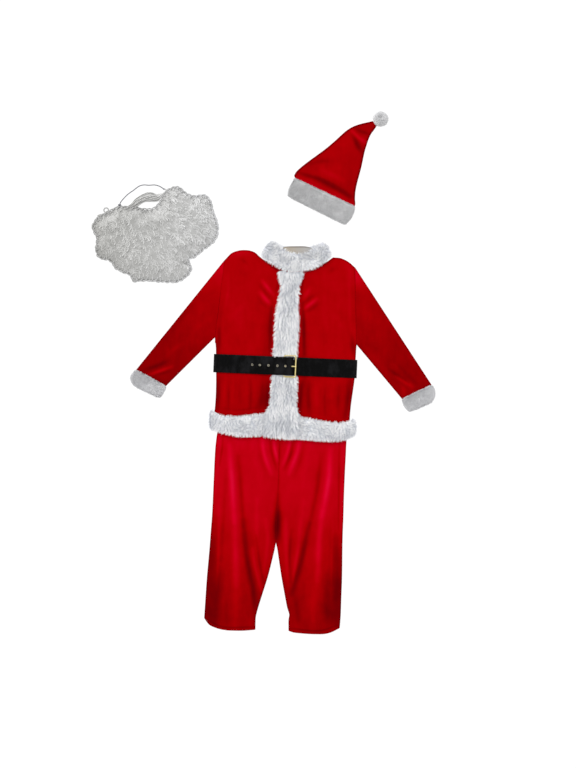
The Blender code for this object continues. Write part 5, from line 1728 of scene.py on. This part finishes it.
def in_neck(points):
    """1 for the back half's inside, which shows through the neck's opening."""
    across, down = grid_columns(points), grid_rows(points)
    inside = (across > NECK_LEFT) & (across < NECK_RIGHT) & (down < NECK_FOOT) & (points[:, 2] < NECK_LEVEL)
    return inside.astype(float)


def lining_material():
    """Woven lining, greyer than the plush as painted shade, browner to one side and darker along its folded
    edge as painted shade.
    """
    made, graph = new_material("collar_lining", linear(160, 154, 146))
    place = object_place(graph)
    threads = graph.noise(place, 700.0, 2.0, 0.6)
    cloth = graph.blend(attribute(graph, "across"), linear(166, 153, 133), linear(168, 168, 170))
    cloth = graph.blend(attribute(graph, "edge"), cloth, linear(96, 90, 84))
    finish_material(
        graph,
        {
            "Base Color": graph.blend(threads * 0.3, cloth, linear(140, 134, 126)),
            "Roughness": 0.9,
            "Specular IOR Level": 0.1,
            "Normal": bump(graph, threads, 0.3, 0.0004),
        },
    )
    return made


def make_lining():
    """The back half's lining, seen through the neck's opening."""
    count, rows = LINING_COLUMNS, LINING_ROWS
    top, foot = (evenly(smooth_line(plan_points(p), 0.002), count=count) for p in (LINING_TOP, LINING_FOOT))
    share = np.linspace(0, 1, rows)[None, :, None]
    flat = top[:, None, :] * (1 - share) + foot[:, None, :] * share
    level = np.minimum(Form("collar").top(flat.reshape(-1, 2)), LINING_LEVEL).reshape(count, rows, 1)
    level = level + LINING_GAP - 0.0006 * np.sin(np.pi * share)
    outer = np.concatenate([flat, level + LINING_WALL], axis=2)
    inner = np.concatenate([flat, level], axis=2)
    across = np.tile(np.repeat(np.linspace(0, 1, count), rows), 2)
    # painted shade along the folded top edge
    edge = np.tile(np.exp(-((np.linspace(0, 1, rows) / 0.13) ** 2)), 2 * count)
    finish = lining_material()
    return ring_wall("collar_lining", outer, inner, finish, closed_ring=False, across=across, edge=edge)


def grow_pile(base, name, finish):
    kind = PILES[name]._asdict()
    density = kind.pop("hairs") / furred_area(base)
    return grown(name + "_pile", base, pile, finish, density=density, **kind)


BALL_DEPTH, BALL_STEP = 0.0080, 0.0050  # how far the pompom's backing is drawn in, and its edges


def lay_plush():
    """Backings drawn in by a part of their pile's length, the pile on them and the lining."""
    middle = sum(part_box("cuff_right"), Vector()) / 2
    middle_left = sum(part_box("cuff_left"), Vector()) / 2
    ways = {
        "placket": (white, comb_down, ("jacket_front_right", "jacket_front_left", "hem_band")),
        "hem_band": (white, comb_swirl, ("trouser_front_right", "trouser_front_left")),
        "collar": (white, comb_swirl, ("jacket_front_right", "jacket_front_left", "jacket_back")),
        "cuff_right": (cuff_white, comb_from(middle[:2]), ()),
        "cuff_left": (cuff_white, comb_from(middle_left[:2]), ()),
        "hat_trim": (brim_white, comb_swirl, ()),
    }
    for name, (finish, comb, rests_on) in ways.items():
        depth = 0.42 * PILES[name].length
        rounds = 1 if name in ("hat_trim", *JOINED_PILE) else 2
        bare = in_neck if name == "collar" else None
        narrow = placket_narrow if name == "placket" else None
        base = backing(name, finish, depth, comb, rounds=rounds, bare=bare, narrow=narrow)
        extra = [belongs(grow_pile(base, name, finish), "white_plush")]
        if name == "collar":
            extra.append(belongs(make_lining(), "white_plush"))
        lay_sheet(belongs(base, "white_plush", name), name)
    ball = sum(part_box("pompom"), Vector()) / 2
    base = backing("pompom", pom_white, BALL_DEPTH, comb_from(ball[:2]), step=BALL_STEP)
    belongs(grow_pile(base, "pompom", pom_white), "white_plush")
    belongs(base, "white_plush", "pompom")


lay_plush()


# ---- The belt ----

# The belt has its own plan, with X along it from the buckle's middle. These rows are x and z of places in
# the middle of the strap's wall, in the order of its run.
STRAP_FIXED = ((-0.0455, 0.0158), (-0.0390, 0.0174), (-0.0310, 0.0188))
STRAP_RIGHT = (
    (-0.036, 0.0126), (-0.077, 0.0126), (-0.092, 0.0110), (-0.112, 0.0094), (-0.162, 0.0079),
    (-0.232, 0.0074), (-0.304, 0.0073),
)
STRAP_SIDES = (-0.3138, 0.2779)
STRAP_LEFT = (
    (0.258, 0.0073), (0.198, 0.0074), (0.138, 0.0079), (0.093, 0.0091), (0.066, 0.0110),
    (0.048, 0.0126), (0.034, 0.0126),
)
STRAP_DIVE = (
    (0.0225, 0.0126), (0.0185, 0.0137), (0.0145, 0.0162), (0.0103, 0.0195), (0.0062, 0.0217),
    (0.0010, 0.0226),
)
STRAP_HUMP = (
    (-0.0060, 0.0227), (-0.0198, 0.0224), (-0.0340, 0.0212), (-0.0440, 0.0192), (-0.0540, 0.0170),
    (-0.0640, 0.0156),
)
STRAP_TIP = ((-0.2970, 0.0098), (-0.3205, 0.0096))
STRAP_LAYER = 0.0005  # between the strap's layers
STRAP_STEP = 0.0045  # between points along it
BELT_TURN = math.atan(-0.042)  # the belt slants down to the right
BAR, BUCKLE_HALF, BUCKLE_CORNER, BUCKLE_Z = 0.0020, (0.0238, 0.0445), 0.0050, 0.0159
BUCKLE_BAR = 0.0028  # half the width of the bars that show
BAR_FLAT = 0.72  # a bar's height over its width
BAR_GAP = 0.0004  # between the pivot bar and what bends round it
PRONG_WIDTH, PRONG_THICK = 0.0044, 0.0020
BELT = Matrix.Translation((BUCKLE_MIDDLE.x, BUCKLE_MIDDLE.y, 0.0)) @ Matrix.Rotation(BELT_TURN, 4, "Z")
# The prong's oval holes, in the strap's tail and at the pivot bar: half width, depth and length over width
PRONG_HOLE_X, PRONG_HOLE = 0.0108, (0.0035, 0.0060, 1.7)
PIVOT_SLOT_X, PIVOT_SLOT = 0.0008 - BUCKLE_HALF[0], (0.0038, 0.0102, 1.9)
PEG_SIDES = 24
EYELET_X = (-0.019, -0.052, -0.090, -0.126, -0.158)
EYELET_GAP = 0.0003  # between a ring and the strap


def arc(centre, radius, start, end, count):
    """Points on an arc in a plane; angles in degrees from its first axis towards its second."""
    angles = np.radians(np.linspace(start, end, count))
    return [(centre[0] + radius * math.cos(a), centre[1] + radius * math.sin(a)) for a in angles]


def tail_path():
    """The strap's loose end, from the buckle's outer bar over the pivot bar to its tip."""
    shift = STRAP_WALL + STRAP_LAYER
    laid = [(x, z + shift) for x, z in STRAP_RIGHT[1:-1]]
    return [*STRAP_DIVE, *STRAP_HUMP, *laid, *STRAP_TIP]


def strap_path():
    """The strap's wall middle, from its fixed end at the buckle round the jacket to its tip."""
    pivot = (-BUCKLE_HALF[0], BUCKLE_Z)
    turn = BAR + BAR_GAP + STRAP_WALL / 2
    bend = (STRAP_RIGHT[-1][1] - STRAP_WALL / 2) / 2
    fixed = [*STRAP_FIXED, *arc(pivot, turn, 90, -90, 7), *STRAP_RIGHT]
    round_right = arc((STRAP_SIDES[0], STRAP_WALL / 2 + bend), bend, 100, 270, 7)
    back = [(x, STRAP_WALL / 2) for x in np.linspace(STRAP_SIDES[0] + 0.012, STRAP_SIDES[1] - 0.012, 8)]
    round_left = arc((STRAP_SIDES[1], STRAP_WALL / 2 + bend), bend, -90, 80, 7)
    return [*fixed, *round_right, *back, *round_left, *STRAP_LEFT, *tail_path()]


def tail_at(x):
    """Height and slope of the strap's tail over x."""
    path = np.array(sorted(tail_path()))
    step = 0.003
    low, z, high = (float(np.interp(at, path[:, 0], path[:, 1])) for at in (x - step, x, x + step))
    return z, math.atan2(high - low, 2 * step)


def in_belt(obj):
    obj.data.transform(BELT)
    return obj


def band(name, path, width, wall, finish, across=17):
    """A flat band with rounded edges that follows a path in the XZ plane."""
    path = np.array(path, float)
    normal = -outward(path, closed=False)
    edge = wall / 2
    reach = width / 2 - edge
    flat = np.linspace(-reach, reach, across)
    turn = np.radians(np.linspace(90, -90, 5)[1:-1])
    beyond, up = edge * np.cos(turn), edge * np.sin(turn)
    ys = [*flat, *(reach + beyond), *flat[::-1], *(-reach - beyond[::-1])]
    ups = [*np.full(across, edge), *up, *np.full(across, -edge), *up[::-1]]
    ring = len(ys)
    points = []
    for (x, z), (nx, nz) in zip(path, normal):
        points += [(x + nx * u, y, z + nz * u) for y, u in zip(ys, ups)]
    faces = ring_faces(len(path), ring)
    # Each end is closed by a strip across its wall, with a small face in either rounded edge
    last = (len(path) - 1) * ring
    for start in (0, last):
        for j in range(across - 1):
            top = (start + j, start + j + 1)
            below = (start + 2 * across + 3 - j - 1, start + 2 * across + 3 - j - 2)
            faces.append((top[0], top[1], below[1], below[0]))
        faces.append(tuple(start + i for i in (across - 1, *range(across, across + 3), across + 3)))
        faces.append(tuple(start + i for i in (2 * across + 2, *range(2 * across + 3, ring), 0)))
    return face_out(make_object(name, points, faces, finish))


def punched(obj, cutters):
    """The object with the cutters' shapes taken out of it, as a plain mesh."""
    joined = bmesh.new()
    for points, faces in cutters:
        made = [joined.verts.new(p) for p in points]
        for face in faces:
            joined.faces.new([made[i] for i in face])
    bmesh.ops.recalc_face_normals(joined, faces=joined.faces)
    mesh = bpy.data.meshes.new("punch")
    joined.to_mesh(mesh)
    joined.free()
    tool = bpy.data.objects.new("punch", mesh)
    bpy.context.scene.collection.objects.link(tool)
    cut = obj.modifiers.new("punch", "BOOLEAN")
    cut.object = tool
    cut.solver = "EXACT"
    result = evaluated_mesh(obj)
    obj.modifiers.remove(cut)
    obj.data = result
    bpy.data.objects.remove(tool)
    return obj


def peg(place, tilt, radius, depth, stretch=1.0):
    """A cutter: a round or oval peg across the strap."""
    sides = PEG_SIDES
    turn = np.linspace(0, 2 * math.pi, sides, endpoint=False)
    rim = np.column_stack([stretch * radius * np.cos(turn), radius * np.sin(turn)])
    points = [(x, y, z) for z in (-depth / 2, depth / 2) for x, y in rim]
    move = Matrix.Translation(place) @ Matrix.Rotation(-tilt, 4, "Y")
    faces = [tuple(range(sides))[::-1], tuple(range(sides, 2 * sides))]
    faces += [(j, (j + 1) % sides, sides + (j + 1) % sides, sides + j) for j in range(sides)]
    return [tuple(move @ Vector(p)) for p in points], faces


def make_eyelet(number, x, finish):
    """A rolled metal ring, pressed into the strap's tail."""
    z, tilt = tail_at(x)
    wall = STRAP_WALL / 2 + EYELET_GAP
    inner = ((0.0, -0.0006), (-0.0001, 0.0006), (0.0004, 0.0011), (0.0011, EYELET_RISE))
    outer = ((-0.0008, 0.0010), (0.0, 0.0002), (-0.0006, 0.0))
    profile = [(EYELET_HOLE + r, h) for r, h in inner] + [(EYELET_OUTER + r, h) for r, h in outer]
    profile.append((EYELET_HOLE + 0.0004, -0.0002))
    points = []
    for a in np.linspace(0, 2 * math.pi, EYELET_SIDES, endpoint=False):
        points += [(r * math.cos(a), r * math.sin(a), wall + h) for r, h in profile]
    faces = ring_faces(EYELET_SIDES, len(profile), closed=True)
    piece = face_out(make_object(f"eyelet_{number}_ring", points, faces, finish))
    piece.data.transform(Matrix.Translation((x, 0.0, z)) @ Matrix.Rotation(-tilt, 4, "Y"))
    return in_belt(piece)


def make_strap(finish):
    """The strap with its holes: for the eyelets, for the prong's tip and for the prong at the pivot bar."""
    strap = band("belt_strap_vinyl", smooth_line(strap_path(), STRAP_STEP), STRAP_WIDTH, STRAP_WALL, finish)
    cutters = []
    for x in EYELET_X:
        z, tilt = tail_at(x)
        cutters.append(peg((x, 0.0, z), tilt, EYELET_HOLE + EYELET_GAP, STRAP_WALL + 0.0008))
    z, tilt = tail_at(PRONG_HOLE_X)
    cutters.append(peg((PRONG_HOLE_X, 0.0, z), tilt, *PRONG_HOLE))
    cutters.append(peg((PIVOT_SLOT_X, 0.0, BUCKLE_Z), 0.0, *PIVOT_SLOT))
    strap = punched(strap, cutters)
    strap.data.shade_smooth()
    strap.data.set_sharp_from_angle(angle=math.radians(50))
    belongs(in_belt(strap), "black_vinyl", "belt_strap")


def make_buckle(finish):
    """The buckle's frame, narrower at its pivot bar, and the prong that hooks round that bar."""
    half_x, half_y = BUCKLE_HALF
    rim = []
    for cx, cy, start in ((1, 1, 0), (-1, 1, 90), (-1, -1, 180), (1, -1, 270)):
        centre = (cx * (half_x - BUCKLE_CORNER), cy * (half_y - BUCKLE_CORNER))
        rim += [(x, y, BUCKLE_Z) for x, y in arc(centre, BUCKLE_CORNER, start, start + 90, 7)]
    rim = evenly(np.array(rim + rim[:1]), step=0.0022)[:-1]
    share = smoothstep(-half_x + 0.002, -half_x + 0.008, rim[:, 0])
    radius = BAR + (BUCKLE_BAR - BAR) * share
    wire = tube("buckle_frame_wire", rim, radius, finish, sides=16, closed=True, flat=BAR_FLAT)
    belongs(in_belt(wire), "brass", "buckle_frame")
    bend = BAR + BAR_GAP + PRONG_THICK / 2
    hook = arc((-half_x, BUCKLE_Z), bend, 225, 90, 12)
    along = (0.004 - half_x, 0.010 - half_x, 0.0, 0.012, half_x, half_x + 0.0032)
    rod = [(x, BUCKLE_Z + bend) for x in along]
    path = smooth_line(hook + rod, 0.0015)
    prong = band("buckle_prong_tongue", path, PRONG_WIDTH, PRONG_THICK, finish, across=5)
    belongs(in_belt(prong), "brass", "buckle_prong")


def make_belt():
    vinyl = vinyl_material()
    brass = metal_material("brass", linear(240, 224, 158), linear(206, 184, 118), 0.26, 340.0)
    nickel = metal_material("eyelet_metal", linear(176, 170, 152), linear(140, 134, 120), 0.34, 300.0)
    make_strap(vinyl)
    make_buckle(brass)
    for number, x in enumerate(EYELET_X, 1):
        belongs(make_eyelet(number, x, nickel), "eyelet_metal", f"eyelet_{number}")


make_belt()


# ---- The beard ----

LockKind = namedtuple("LockKind", "count length radius strand turns seed")
LONG_LOCKS = LockKind(300, 0.0100, 0.0165, 0.0030, 0.55, 41)
SHORT_LOCKS = LockKind(900, 0.0090, 0.0085, 0.0017, 0.62, 42)
SHORT_REACH = 0.0160  # how far a short lock may lie from its root
BEARD_DEPTH, LIP_DEPTH = 0.0025, 0.0020  # how far the hair's backings are drawn in
BEARD_STEP, LIP_STEP = 0.0090, 0.0070
LIP_STRAND, LOOSE_STRAND = 0.0017, 0.0026  # radii
STRAND_STEP = 0.0015
MOUTH, LIP = (147.5, 203.0), (148.0, 190.5)  # in the plan's grid
END_CURL = ((163.6, 188.4), (165.6, 189.6), (168.0, 191.6), (170.6, 194.2))
END_CURL_RISE = (0.0032, 0.0046, 0.0068, 0.0090)
STRAY_STALK = ((108.2, 220.5), (107.4, 217.5), (106.8, 214.5))
STRAY_RING = (106.2, 210.2, 2.3)  # its middle and radius, in squares of the grid
EDGE_RADIUS, EDGE_PITCH, EDGE_STRAND = 0.0085, 0.0200, 0.0030
EDGE_INSET = 0.70  # of its radius: how far the edge curl's middle lies inside the outline
EDGE_LEVEL, EDGE_LIFT = 0.0062, 0.0022
MOUSTACHE_STRANDS, MOUSTACHE_POINTS = 9, 60
KNOT_HALF = (0.0019, 0.0019, 0.0014)
KNOT_LIFT, KNOT_STRAND, KNOT_POINTS = 0.0022, 0.0014, 48


def comb_beard(points, normals):
    """Down and away from the mouth."""
    combs = np.zeros((len(points), 3))
    combs[:, :2] = 0.75 * units(points[:, :2] - plan_point(*MOUTH)) + (0.0, -0.7)
    combs[:, :2] += 0.35 * wander(points, 0.07, 31)
    return combs


def comb_moustache(points, normals):
    """From the middle of the lip down both sides."""
    combs = np.zeros((len(points), 3))
    combs[:, :2] = units(points[:, :2] - plan_point(*LIP))
    return combs


def keep_inside(base, loop, reach):
    """No lock starts where one of this length would hang over the outline."""
    mesh = base.data
    points = np.array([v.co[:2] for v in mesh.vertices])
    combs = np.zeros(len(points) * 3, np.float32)
    mesh.attributes["comb"].data.foreach_get("vector", combs)
    combs = units(combs.reshape(-1, 3)[:, :2])
    fur = np.zeros(len(points), np.float32)
    mesh.attributes["fur"].data.foreach_get("value", fur)
    x0, y0 = loop[:, 0], loop[:, 1]
    x1, y1 = np.roll(x0, -1), np.roll(y0, -1)
    for share in (0.5, 1.0):
        x, y = (points + combs * reach * share).T[:, :, None]
        crosses = (y0 > y) != (y1 > y)
        where = x0 + (y - y0) * (x1 - x0) / np.where(y1 == y0, 1e-12, y1 - y0)
        fur = fur * (np.sum(crosses & (x < where), axis=1) % 2)
    mesh.attributes["fur"].data.foreach_set("value", fur.astype(np.float32))


def grow_locks(name, base, locks, finish, kind):
    sizes = kind._asdict()
    density = sizes.pop("count") / furred_area(base)
    return grown(name, base, locks, finish, density=density, clump=0.5, clump_size=0.030, swirl=2.6, **sizes)


def edge_curls(loop):
    """A strand that winds along inside the outline, one turn beside the other, and scallops it."""
    path = evenly(np.vstack([loop, loop[:1]]), step=0.0020)[:-1]
    for _ in range(6):
        path = (np.roll(path, 1, axis=0) + 2 * path + np.roll(path, -1, axis=0)) / 4
    out = outward(path)
    ahead = np.column_stack([-out[:, 1], out[:, 0]])
    turns = round(run_of(path)[-1] / EDGE_PITCH)
    angle = np.linspace(0, 2 * math.pi * turns, len(path), endpoint=False)
    size = (EDGE_RADIUS * (1 + 0.5 * value_noise(path, 0.035, 51)))[:, None]
    turned = np.cos(angle)[:, None] * out + np.sin(angle)[:, None] * ahead
    flat = path - EDGE_INSET * size * out + size * turned
    return np.column_stack([flat, EDGE_LEVEL + EDGE_LIFT * np.sin(angle)])


def moustache_lines():
    """Strands side by side along the moustache, following its two long edges."""
    form = Form("moustache")
    sides = sorted(form.sides(0.004), key=lambda side: run_of(side)[-1])[-2:]
    first, second = (evenly(side, count=MOUSTACHE_POINTS) for side in (sides[0], sides[1][::-1]))
    wave = np.linspace(0, 1, MOUSTACHE_POINTS)
    found = []
    for number in range(MOUSTACHE_STRANDS):
        share = (number + 0.5) / MOUSTACHE_STRANDS + 0.05 * np.sin(9 * wave + 2.1 * number)
        flat = first + (second - first) * np.clip(share, 0.04, 0.96)[:, None]
        rise = 0.0002 + 0.0006 * np.sin(14 * wave + 1.7 * number)
        found.append(np.column_stack([flat, form.top(flat) + rise]))
    return found


def stray_curl():
    """A loose curl that stands off the beard's edge: a stalk and a ring."""
    x, y, radius = STRAY_RING
    turn = np.radians(np.linspace(-80, 300, 20))
    ring = [(x + radius * math.cos(a), y - radius * math.sin(a)) for a in turn]
    line = plan_points([*STRAY_STALK, *ring])
    return smooth_line(np.column_stack([line, np.linspace(0.0060, 0.0024, len(line))]), STRAND_STEP)


def end_curl():
    """A curl that covers the place where the elastic's far end goes under the beard."""
    return smooth_line(np.column_stack([plan_points(END_CURL), END_CURL_RISE]), STRAND_STEP)


def lay_hair(obj, *nodes):
    return belongs(obj, "white_curls", *nodes)


def make_beard():
    hair = curl_material("white_curls", (168, 168, 167), (204, 204, 204))
    lip_hair = curl_material("lip_curls", (182, 182, 181), (216, 216, 216))
    edge_hair = curl_material("edge_curls", (168, 168, 168), (188, 188, 190))
    locks = curl_tree()
    base = backing("beard", hair, BEARD_DEPTH, comb_beard, step=BEARD_STEP)
    loop = Form("beard").loop
    full = base.data.copy()
    keep_inside(base, loop, LONG_LOCKS.length + LONG_LOCKS.radius)
    lay_hair(grow_locks("beard_long_locks", base, locks, hair, LONG_LOCKS))
    base.data = full
    keep_inside(base, loop, SHORT_REACH)
    lay_hair(grow_locks("beard_short_locks", base, locks, hair, SHORT_LOCKS))
    lay_hair(base, "beard")
    lip = backing("moustache", lip_hair, LIP_DEPTH, comb_moustache, step=LIP_STEP)
    for number, line in enumerate(moustache_lines(), 1):
        lay_hair(tube(f"moustache_strand_{number}", line, LIP_STRAND, lip_hair))
    lay_hair(lip, "moustache")
    lay_hair(tube("beard_stray_curl", stray_curl(), LOOSE_STRAND, edge_hair))
    lay_hair(tube("beard_end_curl", end_curl(), LOOSE_STRAND, edge_hair))
    lay_hair(tube("beard_edge_curls", edge_curls(loop), EDGE_STRAND, edge_hair, sides=5, closed=True))


def make_elastic():
    """The cord and the knot that it ends in."""
    finish = elastic_material()
    route = smooth_line(np.array(ELASTIC) + ELASTIC_SHIFT, 0.0040)
    flat = ELASTIC_THICK / ELASTIC_WIDTH
    cord = tube("beard_elastic_cord", route, ELASTIC_WIDTH / 2, finish, sides=10, flat=flat)
    t = np.linspace(0, 2 * math.pi, KNOT_POINTS, endpoint=False)
    trefoil = np.column_stack([np.sin(t) + 2 * np.sin(2 * t), np.cos(t) - 2 * np.cos(2 * t), -np.sin(3 * t)])
    line = trefoil * KNOT_HALF + route[0] + (0.0, 0.0, KNOT_LIFT)
    knot = tube("beard_elastic_knot", line, KNOT_STRAND, finish, sides=8, closed=True)
    belongs(cord, "grey_elastic", "beard_elastic")
    belongs(knot, "grey_elastic")


make_beard()
make_elastic()
